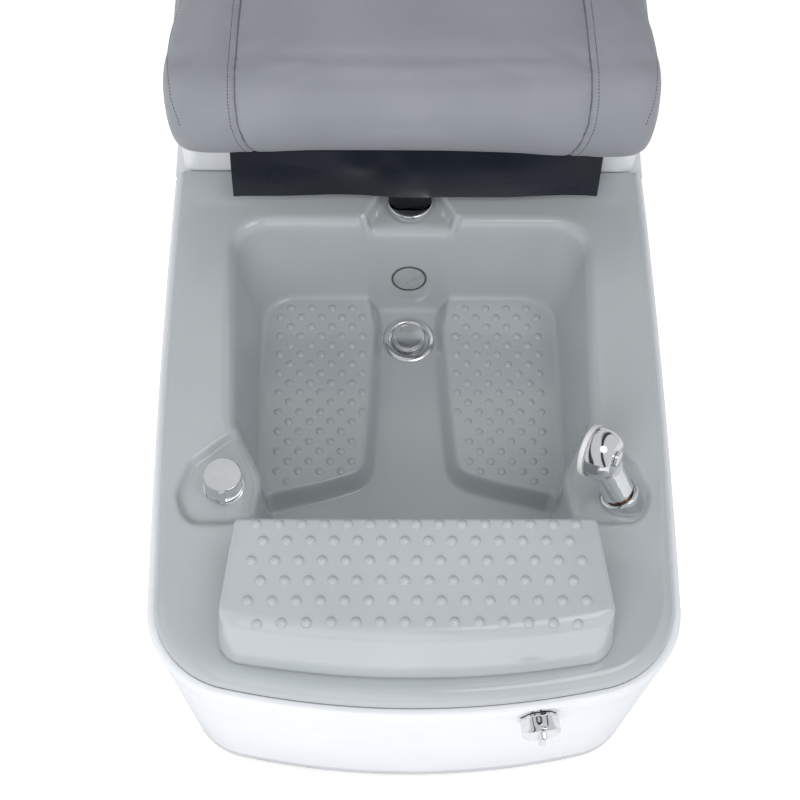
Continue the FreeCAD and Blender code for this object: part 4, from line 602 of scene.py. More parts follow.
def makeBasin():
    v = basin
    centre = np.array(v["centre"])
    angles = np.linspace(0, math.tau, v["rays"], endpoint=False) + v["rayTurn"]
    ray = np.stack([np.cos(angles), np.sin(angles)], axis=1)
    outer = reachAlong(rimOutline(v["inset"], rim["wall"] - 0.5), centre, angles)
    rimReach = reachAlong(roundedOutline(mirroredCorners(v["rimCorners"])), centre, angles)
    baseReach = reachAlong(roundedOutline(mirroredCorners(v["baseCorners"])), centre, angles)
    outline = evenly(rimOutline(v["inset"], rim["wall"] - 0.5), 4.0)

    def spot(reach):
        return centre + ray * reach[:, None]

    floorEdge = floorHeight(spot(baseReach - v["baseRound"]))
    deckEdge = deckLevel(spot(rimReach + 2))
    slope = (rimReach - baseReach) / v["depth"]
    bottom = v["deck"] - v["depth"]
    cornerLow = baseReach + slope * (floorEdge - bottom)
    cornerHigh = baseReach + slope * (deckEdge - bottom)
    rings = []

    for reach in v["innerRings"]:
        reached = np.full(v["rays"], reach)
        rings.append((reached, floorHeight(spot(reached))))
    lowEnd = cornerLow - v["baseRound"]
    inner = v["innerRings"][-1]
    for step in range(1, v["floorRings"] + 1):
        reached = inner + (lowEnd - inner) * step / v["floorRings"]
        rings.append((reached, floorHeight(spot(reached))))
    rise = v["baseRound"] * 1.15
    wallLow = (cornerLow + slope * rise, floorEdge + rise)
    curve = filletProfile(lowEnd, floorEdge, cornerLow, floorEdge, wallLow[0], wallLow[1],
                          v["roundRings"] + 2)
    rings.extend((c[:, 0], c[:, 1]) for c in curve[1:])
    drop = v["rimRound"]
    wallHigh = (cornerHigh - slope * drop, deckEdge - drop)
    for step in range(1, v["wallRings"]):
        t = step / v["wallRings"]
        rings.append((wallLow[0] + (wallHigh[0] - wallLow[0]) * t,
                      wallLow[1] + (wallHigh[1] - wallLow[1]) * t))
    highEnd = cornerHigh + drop
    curve = filletProfile(wallHigh[0], wallHigh[1], cornerHigh, deckEdge, highEnd, deckLevel(spot(highEnd)),
                          v["roundRings"] + 2)
    rings.extend((c[:, 0], c[:, 1]) for c in curve)
    facing = eased((-ray[:, 1] - 0.35) / 0.4)
    roll = v["sideRoll"] + (v["frontRoll"] - v["sideRoll"]) * facing
    edge = outer - roll
    for step in range(1, v["deckRings"] + 1):
        reached = highEnd + (edge - highEnd) * step / v["deckRings"]
        rings.append((reached, deckLevel(spot(reached))))
    for step in range(1, v["rollRings"] + 1):
        turn = math.pi / 2 * step / v["rollRings"]
        reached = edge + roll * math.sin(turn)
        gap = np.clip(insideDistance(outline, spot(reached)), 0, roll)
        fall = 1 - np.sqrt(np.clip(1 - ((roll - gap) / roll) ** 2, 0, 1))
        rings.append((reached, v["deck"] - roll * fall))
    lipLevel = np.full(v["rays"], v["deck"] - v["lip"])
    rings[-1] = (outer, v["deck"] - roll)
    rings.append((outer, lipLevel))
    under = outer - v["wall"]
    rings.append((under, lipLevel))
    rings.append((under - 4, lipLevel + v["lip"] - v["wall"] - 10))
    skin = cornerHigh + v["wall"] * 1.5
    rings.append(((under + skin) / 2, deckLevel(spot((under + skin) / 2)) - v["wall"] - 4))
    rings.append((skin, deckEdge - v["wall"] - 4))
    rings.append((cornerLow + v["wall"], bottom + v["wall"]))
    point = np.full(v["rays"], v["point"])
    rings.extend((reached, bottom - v["wall"]) for reached in (baseReach - 8, baseReach * 0.5, point))
    rings.insert(0, (point, bottom))
    shell = ringStack("footBasin", [raised(spot(reached), level) for reached, level in rings])
    finishPiece(shell, "bench", "acrylicGrey",
                ["basin", "basin_walls", "basin_floor", "foot_pads"])
    print("basin: triangles", 2 * len(shell.data.polygons))


# Pieces from rings and profiles

def ringStack(name, rings):
    # closed rings one above the other, in metres; the first and last may shrink to a point
    return wrappedGrid(name, np.array(rings))


def closedTop(rings, level):
    # adds rings that run in to the middle
    last = rings[-1]
    middle = last.mean(axis=0)
    middle[2] = level / 1000
    return [middle + (last - middle) * share for share in (0.75, 0.5, 0.25, 0.0005)]


def domeField(name, places, radius, height, sink, steps=20, rows=5):
    # low round caps, each turned about its own upright axis
    bm = bmesh.new()
    curve = (radius ** 2 + height ** 2) / (2 * height)
    reach = math.asin(radius / curve)
    for x, station, level in places:
        middle = at(x, station, level)
        profile = [(0.0, height)]
        for row in range(1, rows + 1):
            angle = reach * row / rows
            profile.append((curve * math.sin(angle), height - curve * (1 - math.cos(angle))))
        profile += [(radius * 1.04, -sink), (0.0, -sink)]
        points = [bm.verts.new((middle.x + r / 1000, middle.y, middle.z + h / 1000)) for r, h in profile]
        edges = [bm.edges.new(pair) for pair in zip(points, points[1:])]
        bmesh.ops.spin(bm, geom=points + edges, cent=middle, axis=(0, 0, 1), angle=math.tau, steps=steps,
                       use_merge=True)
    tidyMesh(bm)
    return pieceFrom(bm, name)


def quarterRound(steps, first=1):
    # how far a round edge has drawn in and risen, as shares of its radius, over a quarter turn
    turns = [math.pi / 2 * step / steps for step in range(first, steps + 1)]
    return [(1 - math.cos(turn), math.sin(turn)) for turn in turns]


def polarRing(reach, angles, level):
    # a ring in metres round Z from its reach at each angle, in millimetres
    return np.stack([reach * np.cos(angles), reach * np.sin(angles), np.full(len(angles), level)],
                    axis=1) / 1000


def softened(bm, passes):
    # each vertex halfway to the middle of its neighbours, a few times over
    for turn in range(passes):
        bmesh.ops.smooth_vert(bm, verts=bm.verts, factor=0.5, use_axis_x=True, use_axis_y=True,
                              use_axis_z=True)


def turnedPiece(name, profile, reach=0.6, steps=96, corners=4):
    # a closed turned body from (radius, height) pairs in millimetres, its corners eased
    bm = bmesh.new()
    soft = softCorners(profile, reach, corners)
    spunBody(bm, [(radius / 1000, height / 1000) for radius, height in soft], steps)
    return pieceFrom(bm, name)


def sealed(piece):
    # the open ends filled, the faces turned outwards and shaded smooth
    bm = bmesh.new()
    bm.from_mesh(piece.data)
    bmesh.ops.holes_fill(bm, edges=[edge for edge in bm.edges if edge.is_boundary], sides=0)
    bmesh.ops.recalc_face_normals(bm, faces=bm.faces)
    bm.to_mesh(piece.data)
    bm.free()
    for polygon in piece.data.polygons:
        polygon.use_smooth = True
    return piece


def sweptStrip(name, plans, levels):
    # a closed section swept along an open plan; plans holds one plan per corner of the section
    grid = [raised(plan, level) for plan, level in zip(plans, levels)]
    return sealed(ringStack(name, np.array(grid).transpose(1, 0, 2)))


def splitSharp(piece, degrees):
    # sharp edges past an angle, kept in the mesh
    bm = bmesh.new()
    bm.from_mesh(piece.data)
    limit = math.radians(degrees)
    for edge in bm.edges:
        edge.smooth = len(edge.link_faces) != 2 or edge.calc_face_angle() < limit
    bm.to_mesh(piece.data)
    bm.free()
    return piece


# Bumps on the foot pads

padBumps = {"radius": 5.6, "height": 1.7, "pitch": 29.0, "rowPitch": 15.5, "edge": 15.0, "sink": 2.5,
            "middle": (124.0, 526.0), "rows": 19, "columns": 6,
            "outline": [(205.0, 684.0, 44.0), (203.0, 352.0, 48.0), (118.0, 378.0, 50.0), (58.0, 398.0, 34.0),
                        (49.0, 520.0, 120.0), (43.0, 640.0, 40.0), (49.0, 684.0, 20.0)]}


def makePadBumps():
    v = padBumps
    outline = evenly(roundedOutline(v["outline"]), 6.0)
    spots = []
    for row in range(-v["rows"] // 2, v["rows"] // 2 + 1):
        shift = 0.5 if row % 2 else 0.0
        for column in range(-v["columns"] // 2, v["columns"] // 2 + 1):
            spots.append((v["middle"][0] + (column + shift) * v["pitch"],
                          v["middle"][1] + row * v["rowPitch"]))
    spots = np.array(spots)
    spots = spots[insideDistance(outline, spots) > v["edge"]]
    level = basin["deck"] - basin["depth"] + basin["padHeight"]
    places = [(side * x, y, level) for x, y in spots for side in (1, -1)]
    piece = domeField("padBumps", places, v["radius"], v["height"], v["sink"], 16, 4)
    finishPiece(piece, "bench", "acrylicGrey")
    print("pad bumps:", len(places))


# Housing rim and skirt

housing = {"top": 328.0, "bottom": 22.0, "taper": 36.0, "wall": 5.0, "ledge": 26.0, "edge": 5.0, "foot": 1.5,
           "skirtRings": 12}


def makeHousing():
    v = housing
    edge = v["edge"]
    profile = [(v["taper"] + v["wall"] - 1, v["bottom"]), (v["taper"] + 1, v["bottom"]),
               (v["taper"], v["bottom"] + v["foot"])]
    for step in range(1, v["skirtRings"] + 1):
        share = step / v["skirtRings"]
        profile.append((v["taper"] * (1 - share),
                        v["bottom"] + v["foot"] + (v["top"] - edge - v["bottom"] - v["foot"]) * share))
    for drawn, risen in quarterRound(5):
        profile.append((edge * drawn, v["top"] - edge + edge * risen))
    profile += [(v["ledge"] - 1, v["top"]), (v["ledge"], v["top"] - 1), (v["ledge"], v["top"] - v["wall"]),
                (v["wall"] + 6, v["top"] - v["wall"]), (v["wall"] + 1.5, v["top"] - v["wall"] - 5),
                (v["wall"] + v["taper"] * 0.5, (v["top"] + v["bottom"]) / 2)]
    plans = [rimOutline(inset, rim["wall"]) for inset, level in profile]
    piece = sweptStrip("housingRim", plans, [level for inset, level in profile])
    splitSharp(piece, 50)
    finishPiece(piece, "bench", "gelCoatWhite", ["housing_shell"])
    print("housing:", len(piece.data.polygons), "faces")


# Footrest

footrest = {"rearHalf": 224.0, "frontHalf": 243.0, "rear": 215.0, "sideFront": 64.0, "front": 39.0,
            "corner": 26.0, "rearCorner": 15.0, "base": 352.0, "top": 449.0, "draft": 7.0, "edge": 8.0,
            "frontEdge": 21.0, "bulge": 3.0, "wall": 6.0, "cornerSteps": 24, "columns": 480,
            "domeRadius": 6.5, "domeHeight": 3.5, "domeSink": 1.5,
            "pitches": (27.4, 28.1, 28.0, 28.4, 28.4, 28.8),
            "domeRows": [(197.5, 15), (175.5, 14), (149.5, 15), (123.5, 14), (97.5, 15), (70.5, 14)]}


def footrestPlan(inset, swell=0.0):
    # the outline drawn in by an inset, and how much each of its points belongs to the front
    v = footrest
    corners = [(v["rearHalf"], v["rear"], v["rearCorner"]), (-v["rearHalf"], v["rear"], v["rearCorner"]),
               (-v["frontHalf"], v["sideFront"], v["corner"]), (v["frontHalf"], v["sideFront"], v["corner"])]
    plan = evenly(roundedOutline(corners, v["cornerSteps"]), count=v["columns"])
    bow = (v["sideFront"] - v["front"]) * (1 - (plan[:, 0] / v["frontHalf"]) ** 2)
    share = np.clip((v["rear"] - plan[:, 1]) / (v["rear"] - v["sideFront"]), 0, 1) ** 6
    plan = plan - np.stack([np.zeros(len(plan)), (bow + swell) * share], axis=1)
    ahead = np.roll(plan, -1, axis=0) - np.roll(plan, 1, axis=0)
    ahead /= np.linalg.norm(ahead, axis=1)[:, None]
    for turn in range(3):
        ahead = ahead * 0.5 + (np.roll(ahead, -1, axis=0) + np.roll(ahead, 1, axis=0)) * 0.25
        ahead /= np.linalg.norm(ahead, axis=1)[:, None]
    inward = np.stack([-ahead[:, 1], ahead[:, 0]], axis=1)
    if ((plan.mean(axis=0) - plan) * inward).sum() < 0:
        inward = -inward
    facing = eased((inward[:, 1] - 0.1) / 0.8)
    return plan + inward * np.reshape(inset, (-1, 1)), facing


def makeFootrest():
    v = footrest

    def ringFrom(inset, level, swell=0.0):
        return raised(footrestPlan(inset, swell)[0], level)

    facing = footrestPlan(0.0)[1]
    edge = v["edge"] + (v["frontEdge"] - v["edge"]) * facing
    low, high = v["base"] + 1.5, v["top"] - edge
    rings = [ringFrom(1.2, v["base"]), ringFrom(0.3, v["base"] + 0.9)]
    side = 9
    for step in range(side + 1):
        swell = v["bulge"] * math.sin(math.pi * step / side)
        rings.append(ringFrom(v["draft"] * step / side, low + (high - low) * step / side, swell))
    for drawn, risen in quarterRound(9):
        rings.append(ringFrom(v["draft"] + edge * drawn, high + edge * risen))
    below = [ringFrom(v["wall"] + v["draft"] + 16, v["top"] - v["wall"]),
             ringFrom(v["wall"] + v["draft"], v["top"] - v["wall"] - 16), ringFrom(v["wall"], v["base"] + 2),
             ringFrom(v["wall"], v["base"])]
    middle = below[0].mean(axis=0)
    start = [middle + (below[0] - middle) * share for share in (0.0005, 0.4, 0.8)]
    piece = ringStack("footrestShell", start + below + rings + closedTop(rings, v["top"]))
    splitSharp(piece, 60)
    finishPiece(piece, "footrest", "footrestGrey", ["footrest"])
    places = []
    for (station, count), pitch in zip(v["domeRows"], v["pitches"]):
        for index in range(count):
            x = (index - (count - 1) / 2) * pitch
            bow = (v["sideFront"] - v["front"]) * (1 - (x / v["frontHalf"]) ** 2)
            front = v["sideFront"] - bow + v["draft"]
            within = min(max(v["frontEdge"] - (station - front), 0.0), v["frontEdge"])
            drop = v["frontEdge"] - math.sqrt(v["frontEdge"] ** 2 - within ** 2)
            places.append((x, station, v["top"] - drop))
    domes = domeField("footrestDomes", places, v["domeRadius"], v["domeHeight"], v["domeSink"], 24, 6)
    finishPiece(domes, "footrest", "footrestGrey")
    print("footrest:", len(piece.data.polygons), "faces,", len(places), "domes")


# Mixer knob

mixer = {"place": (-241.0, 305.0, 342.5), "radius": 24.0, "height": 31.0, "edge": 1.4, "ridges": 72,
         "ridgeDepth": 0.55, "pointerHalf": 3.4, "pointerReach": 3.0, "dish": 0.15,
         "columns": 576}


def makeMixerKnob():
    v = mixer
    angles = np.linspace(0, math.tau, v["columns"], endpoint=False)
    ridge = v["ridgeDepth"] * 0.5 * (1 - np.cos(angles * v["ridges"]))
    fromFront = np.abs((angles - 1.5 * math.pi + math.pi) % math.tau - math.pi) * v["radius"]
    pointer = eased((v["pointerHalf"] + 0.8 - fromFront) / 1.0)
    top = v["height"]
    rings = []
    profile = [(-6.0, 0.3), (-1.0, 0.3), (-0.3, 0.9), (0.0, 2.0), (0.0, 14.0), (0.0, top - v["edge"] - 3.2),
               (0.0, top - v["edge"] - 2.4)]
    for drawn, risen in quarterRound(4, 0):
        profile.append((-v["edge"] * drawn, top - v["edge"] + v["edge"] * risen))
    for inset, level in profile:
        share = eased(min(level / 1.5, (top - v["edge"] - 1.6 - level) / 1.2) * np.ones(len(angles)))
        reach = v["radius"] + inset - ridge * share * (1 - pointer) + v["pointerReach"] * pointer * eased(
            np.full(len(angles), (level + 1.0) / 3.0))
        rings.append(polarRing(reach, angles, level))
    start = rings[0] * np.array([0.001, 0.001, 1])
    last = rings[-1]
    ends = [last * np.array([share, share, 1]) for share in (0.9, 0.6, 0.3, 0.0005)]
    for ring in ends:
        ring[:, 2] -= v["dish"] / 1000
    piece = ringStack("mixerKnobTurned", [start] + rings + ends)
    piece.data.transform(Matrix.Translation(at(*v["place"])))
    splitSharp(piece, 40)
    finishPiece(piece, "mixer_knob", "chromePlate", ["mixer_knob"])


# Hand sprayer

sprayer = {"seat": (265.0, 288.0, 340.0), "axis": (-0.4008, 0.2131, 0.8910),
           "headAxis": (-0.8673, 0.4612, -0.1874), "collarRadius": 25.5, "collarBore": 15.6,
           "collarTop": 14.0, "shankRadius": 19.0, "shankLength": 30.0, "headHeight": 82.0,
           "collarEdge": 2.0, "faceDepth": 7.0, "faceLimit": 6.9, "crownRadius": 31.5, "voxel": 0.0011,
           "facet": 25.0, "facetShare": 0.96}


def makeCollar():
    v = sprayer
    axis = Vector(v["axis"])
    seat = at(*v["seat"])
    across = Vector((0, 1, 0)).cross(axis).normalized()
    upward = axis.cross(across)
    angles = np.linspace(0, math.tau, 96, endpoint=False)

    def ringAt(radius, height):
        return np.array([seat + (across * (radius * math.cos(a)) + upward * (radius * math.sin(a))
                                 + axis * height) / 1000 for a in angles])

    def levelRing(radius, lift):
        places = []
        for a in angles:
            spot = seat + (across * (radius * math.cos(a)) + upward * (radius * math.sin(a))) / 1000
            places.append(spot + axis * ((seat.z + lift / 1000 - spot.z) / axis.z))
        return np.array(places)

    top = v["collarTop"]
    outer = v["collarRadius"]
    rings = [levelRing(v["shankRadius"], 0), levelRing(outer - 1.2, 0), levelRing(outer, 1.2),
             levelRing(outer, 2.4)]
    rings += [ringAt(outer, height) for height in (top - 5, top - 2.2)]
    for drawn, risen in quarterRound(5):
        rings.append(ringAt(outer - v["collarEdge"] * drawn, top - v["collarEdge"] + v["collarEdge"] * risen))
    rings += [ringAt(v["collarBore"] + 1.4, top), ringAt(v["collarBore"] + 0.4, top - 0.4),
              ringAt(v["collarBore"], top - 1.4), ringAt(v["collarBore"], -v["shankLength"]),
              ringAt(v["shankRadius"], -v["shankLength"])]
    rings.append(rings[0])
    piece = ringStack("sprayCollarTurned", rings)
    splitSharp(piece, 45)
    finishPiece(piece, "bench", "chromePlate", ["spray_collar"])


def makeSprayHandle():
    # the handle and the head melted together, then smoothed
    v = sprayer
    axis = Vector(v["axis"])
    headAxis = Vector(v["headAxis"])
    top = at(*v["seat"]) + axis * v["collarTop"] / 1000
    head = top + axis * v["headHeight"] / 1000
    grip = turnedPiece("gripTurned", [(0, 3), (20.2, 3), (21.0, 4.6), (20.2, 18), (20.6, 38), (22.4, 58),
                                      (25.2, 74), (27.0, 86), (0, 100)], 6.0, 72, 5)
    standUp(grip, top, axis)
    bulb = turnedPiece("bulbTurned", [(0, -33.0), (14.5, -31.0), (25.5, -23.0), (31.5, -12.5), (33.5, -1.0),
                                      (33.5, 6.7), (0, 6.7)], 5.0, 84, 5)
    standUp(bulb, head, headAxis)
    crown = bmesh.new()
    bmesh.ops.create_uvsphere(crown, u_segments=72, v_segments=36, radius=v["crownRadius"] / 1000)
    crownPiece = pieceFrom(crown, "crownTurned")
    crownPiece.data.transform(Matrix.Translation(head))
    joined = bmesh.new()
    for source in (grip, bulb, crownPiece):
        joined.from_mesh(source.data)
        bpy.data.objects.remove(source)
    handle = pieceFrom(joined, "sprayHandleSmooth")
    remesh = handle.modifiers.new("melt", "REMESH")
    remesh.mode = "VOXEL"
    remesh.voxel_size = v["voxel"]
    remesh.use_smooth_shade = True
    depsgraph = bpy.context.evaluated_depsgraph_get()
    melted = bpy.data.meshes.new_from_object(handle.evaluated_get(depsgraph))
    handle.modifiers.clear()
    bm = bmesh.new()
    bm.from_mesh(melted)
    softened(bm, 8)
    backward = -headAxis
    for vertex in bm.verts:
        offset = vertex.co - head
        depth = offset.dot(backward)
        if depth > v["facet"] / 1000 and offset.dot(axis) > -0.03:
            vertex.co -= backward * (depth - v["facet"] / 1000) * v["facetShare"]
    faceLimit = v["faceLimit"] / 1000
    for vertex in bm.verts:
        depth = (vertex.co - head).dot(headAxis)
        if depth > faceLimit:
            vertex.co -= headAxis * (depth - faceLimit)
    softened(bm, 2)
    bmesh.ops.recalc_face_normals(bm, faces=bm.faces)
    bm.to_mesh(melted)
    bm.free()
    handle.data = melted
    for polygon in melted.polygons:
        polygon.use_smooth = True
    finishPiece(handle, "sprayer", "chromePlate", ["spray_handle"])
    shank = turnedPiece("sprayShank", [(0, -16), (14.6, -16), (15.1, -15), (15.1, 3.6), (0, 3.6)], 0.5)
    standUp(shank, top, axis)
    finishPiece(shank, "sprayer", "copperBand")
    print("sprayer handle:", len(melted.polygons), "faces")
    face = turnedPiece("sprayFaceRing", [(0, 0), (33.4, 0), (33.5, 0.8), (32.2, 6.2), (30.8, 7.0),
                                         (27.8, 7.0), (26.8, 6.2), (0, 6.2)], 0.8)
    standUp(face, head + headAxis * v["faceDepth"] / 1000, headAxis)
    finishPiece(face, "sprayer", "whitePlastic", ["spray_face"])
    button = turnedPiece("sprayButton", [(0, -1.5), (10.6, -1.5), (10.6, 1.4), (9.8, 2.6), (4.0, 3.2),
                                         (0, 3.3)], 1.0)
    standUp(button, head + backward * (v["facet"] + 2.0) / 1000, backward)
    finishPiece(button, "spray_trigger", "chromePlate", ["spray_trigger"])


# Drain control knob on the skirt

drainKnob = {"place": (150.0, 14.35, 297.0), "axis": (0.1406, -0.9831, -0.1168), "radius": 24.0,
             "depth": 24.0, "lift": 2.5, "edge": 5.0, "scoops": 6, "scoopDepth": 2.3,
             "barHalf": (4.0, 18.0), "barHeight": 9.0, "barEdge": 2.2, "columns": 288}


def makeDrainKnob():
    v = drainKnob
    angles = np.linspace(0, math.tau, v["columns"], endpoint=False)
    wave = 0.5 - 0.5 * np.cos(angles * v["scoops"])
    profile = [(-7.0, 0.2), (-0.8, 0.2), (0.0, 1.0), (0.0, 6.0), (0.0, 11.0), (0.0, 15.0), (0.0, 17.5)]
    for drawn, risen in quarterRound(7):
        profile.append((-v["edge"] * drawn, v["depth"] - v["edge"] + v["edge"] * risen))
    rings = []
    for inset, level in profile:
        fade = float(eased(np.array([(v["depth"] - 3.0 - level) / 7.0]))[0])
        reach = v["radius"] + inset - v["scoopDepth"] * wave * fade
        rings.append(polarRing(reach, angles, level))
    start = rings[0] * np.array([0.001, 0.001, 1])
    ends = [rings[-1] * np.array([share, share, 1]) for share in (0.8, 0.5, 0.0005)]
    body = ringStack("drainKnobBody", [start] + rings + ends)
    bm = bmesh.new()
    bm.from_mesh(body.data)
    bpy.data.objects.remove(body)
    bar = bmesh.new()
    half = v["barHalf"]
    bmesh.ops.create_cube(bar, size=1.0)
    for vertex in bar.verts:
        top = vertex.co.z > 0
        vertex.co.x *= 2 * half[0] * (0.86 if top else 1.0)
        vertex.co.y *= 2 * half[1] * (0.95 if top else 1.0)
        vertex.co.z = v["depth"] + v["barHeight"] if top else v["depth"] - 3.0
    bmesh.ops.bevel(bar, geom=[e for e in bar.edges if max(x.co.z for x in e.verts) > v["depth"]],
                    offset=v["barEdge"], segments=4, affect="EDGES", profile=0.5, material=-1)
    bmesh.ops.scale(bar, vec=(0.001, 0.001, 0.001), verts=bar.verts)
    barMesh = bpy.data.meshes.new("barMesh")
    bar.to_mesh(barMesh)
    bar.free()
    bm.from_mesh(barMesh)
    stem = bmesh.new()
    spunBody(stem, [(0, -0.03), (0.005, -0.03), (0.005, 0.003), (0, 0.003)], 32)
    stemMesh = bpy.data.meshes.new("stemMesh")
    stem.to_mesh(stemMesh)
    stem.free()
    bm.from_mesh(stemMesh)
    bmesh.ops.recalc_face_normals(bm, faces=bm.faces)
    piece = pieceFrom(bm, "drainKnobTurned")
    axis = Vector(v["axis"])
    standUp(piece, at(*v["place"]) + axis * v["lift"] / 1000, axis, (0, 0, 1))
    splitSharp(piece, 45)
    finishPiece(piece, "drain_knob", "chromePlate", ["drain_knob"])


# Drain, spout and light

fittingPlaces = {"drain": (0.0, 629.0, 175.0), "plug": (0.0, 629.0, 177.6), "spout": (0.0, 751.0, 330.0),
                 "light": (0.0, 691.0, 240.0)}
lightAxis = (0, -0.9883, 0.1525)
# each: name, place, axis, corner rounding, steps, body, finish, slot, replaced nodes, profile
fittings = [
    ("drainFlangeDished", "drain", None, 0.35, 96, "bench", "chromeSatin", "chrome", ["drain_flange"],
     [(16.0, -0.4), (37.0, -0.4), (37.5, 0.4), (37.0, 1.2), (34.6, 2.3), (31.6, 2.9), (29.6, 2.9),
      (28.6, 2.2), (24.0, 1.1), (16.0, 0.6), (16.0, -0.4)]),
    ("drainPlugDomed", "plug", None, 0.3, 96, "drain_plug", "chromeSatin", "chrome", ["drain_plug"],
     [(0, 0), (20.5, 0), (23.5, 1.6), (23.5, 4.2), (22.2, 5.5), (20.4, 5.8), (20.0, 5.5), (19.4, 5.5),
      (19.0, 5.9), (9.0, 6.0), (0, 6.1)]),
    ("plugStem", "drain", None, 0.3, 40, "drain_plug", "chromePlate", "chrome", [],
     [(0, -56.7), (3.95, -56.7), (3.95, 3.2), (0, 3.2)]),
    ("spoutCapDomed", "spout", None, 1.0, 96, "bench", "chromePlate", "chrome", ["spout_disc"],
     [(0, 6), (30.6, 6), (31.5, 6.8), (31.5, 14.6), (30.0, 16.6), (26.0, 17.0), (0, 17.3)]),
    ("lightBezel", "light", lightAxis, 0.4, 96, "bench", "ringGrey", "dark_ring", ["light_ring"],
     [(22.6, -1.0), (25.0, -1.0), (25.0, 1.0), (24.2, 1.7), (23.0, 1.7), (22.6, 1.2), (22.6, -1.0)]),
    ("lightLensDomed", "light", lightAxis, 0.6, 96, "bench", "lensFrost", "lens", ["light_lens"],
     [(0, -0.5), (22.2, -0.5), (22.2, 0.9), (21.2, 1.5), (12.0, 2.1), (0, 2.4)]),
]


def makeFittings():
    for name, placeName, axis, corner, steps, body, finish, slotName, replaced, profile in fittings:
        piece = turnedPiece(name, profile, corner, steps)
        place = at(*fittingPlaces[placeName])
        if axis:
            standUp(piece, place, axis)
        else:
            piece.data.transform(Matrix.Translation(place))
        finishPiece(piece, body, finish, replaced)
    print("fittings ready")


# Upholstery

seatForm = {"rollStation": 787.0, "rollHeight": 515.0, "rollRadius": 65.0, "slabRear": 1188.0,
            "seamAngles": [-30, 0, 40, 70, 95, 130, 180],
            "seamHalves": [231.0, 231.0, 230.5, 227.5, 221.0, 208.0, 199.0],
            "slabStations": [787.0, 902.0, 1188.0], "slabHalves": [231.0, 227.0, 222.0],
            "endStations": [720.0, 760.0, 800.0, 835.0, 870.0, 905.0, 1190.0],
            "endShift": [-6.0, -1.0, 5.0, 9.0, 9.0, 3.0, 0.0],
            "slabShift": [0.0, 0.0, 7.0, 12.0, 9.0, 1.0, -3.0],
            "endStitch": [(720.0, 300.0), (735.0, 309.0), (750.0, 314.0), (780.0, 317.0), (810.0, 320.0),
                          (840.0, 321.0), (870.0, 317.0), (905.0, 308.0), (940.0, 305.0), (1170.0, 302.0)],
            "stitchPitch": 0.0046, "stitchLength": 0.0031, "threadRadius": 0.00065, "stitchGap": 9.0,
            "weltRadius": 0.0011, "grooves": [(0.0022, 0.0026), (0.014, 0.0011)]}


def rollAngle(places):
    # degrees round the roll's axis from straight up, growing towards the front and under
    v = seatForm
    back = places[:, 1] - rimFront - v["rollStation"] / 1000
    return np.degrees(np.arctan2(-back, places[:, 2] - v["rollHeight"] / 1000))


def seatSeam(places):
    # half spacing of the two panel seams, which close in below the front
    v = seatForm
    station = (places[:, 1] - rimFront) * 1000
    slab = np.interp(station, v["slabStations"], v["slabHalves"])
    roll = np.interp(rollAngle(places), v["seamAngles"], v["seamHalves"])
    return np.where(station > v["rollStation"], slab, roll) / 1000


def seatShape(places):
    # the ends are widest behind the roll's crest and draw in towards the front and the rear
    v = seatForm
    station = (places[:, 1] - rimFront) * 1000
    high = eased((places[:, 2] - 0.53) / 0.03) * eased((station - 800) / 30)
    shift = np.interp(station, v["endStations"], v["endShift"]) * (1 - high)
    shift += np.interp(station, v["endStations"], v["slabShift"]) * high
    share = np.clip((np.abs(places[:, 0]) - 0.25) / 0.065, 0, 1)
    moved = places.copy()
    moved[:, 0] += np.sign(places[:, 0]) * share * shift / 1000
    angle = rollAngle(places)
    droop = np.clip(angle / 100, 0, 1) * eased((148 - angle) / 26) * (station < v["rollStation"])
    moved[:, 2] -= droop * (0.007 * eased((np.abs(places[:, 0]) - 0.12) / 0.12)
                            + 0.006 * eased(places[:, 0] / 0.2))
    return moved


backForm = {"seam": 0.205, "stitchGap": 0.005, "stitchScale": 1.2, "endGap": 0.03}


def backSeam(places):
    return np.full(len(places), backForm["seam"])


def sameShape(places):
    return places.copy()


cushions = {
    "seat": {"node": "seat_cushion", "name": "seatUpholstery", "voxel": 0.0058, "shrink": 0.0008,
             "pressure": 3.0, "cap": 0.0045, "seamAt": seatSeam, "shape": seatShape, "pinReach": 0.005,
             "fill": 0.85},
    "back": {"node": "back_cushion", "name": "backUpholstery", "voxel": 0.0068, "shrink": 0.0012,
             "pressure": 3.2, "cap": 0.007, "seamAt": backSeam, "shape": sameShape, "pinReach": 0.006,
             "fill": 0.8},
}


coverCloth = {
    "quality": 4, "mass": 0.25, "tension_stiffness": 14, "compression_stiffness": 9, "shear_stiffness": 7,
    "bending_stiffness": 0.35, "use_pressure": True, "vertex_group_mass": "held", "pin_stiffness": 1.0,
}
coverLimits = {"frames": 20, "leastHeld": 0.02, "inward": -0.0004, "sliding": 0.002, "slidingShare": 0.5}


def remeshedCopy(node, name, voxel):
    bm = bmesh.new()
    bm.from_mesh(cadNodes[node].data)
    tidyMesh(bm, 0.00002)
    start = pieceFrom(bm, name)
    remesh = start.modifiers.new("even", "REMESH")
    remesh.mode = "VOXEL"
    remesh.voxel_size = voxel
    depsgraph = bpy.context.evaluated_depsgraph_get()
    even = bpy.data.meshes.new_from_object(start.evaluated_get(depsgraph))
    start.modifiers.clear()
    start.data = even
    bm = bmesh.new()
    bm.from_mesh(even)
    softened(bm, 4)
    bmesh.ops.recalc_face_normals(bm, faces=bm.faces)
    bm.to_mesh(even)
    bm.free()
    return start


def meshPlaces(mesh):
    flat = np.empty(len(mesh.vertices) * 3, np.float32)
    mesh.vertices.foreach_get("co", flat)
    return flat.reshape(-1, 3)


def meshNormals(mesh):
    flat = np.empty(len(mesh.vertices) * 3, np.float32)
    mesh.vertices.foreach_get("normal", flat)
    return flat.reshape(-1, 3)


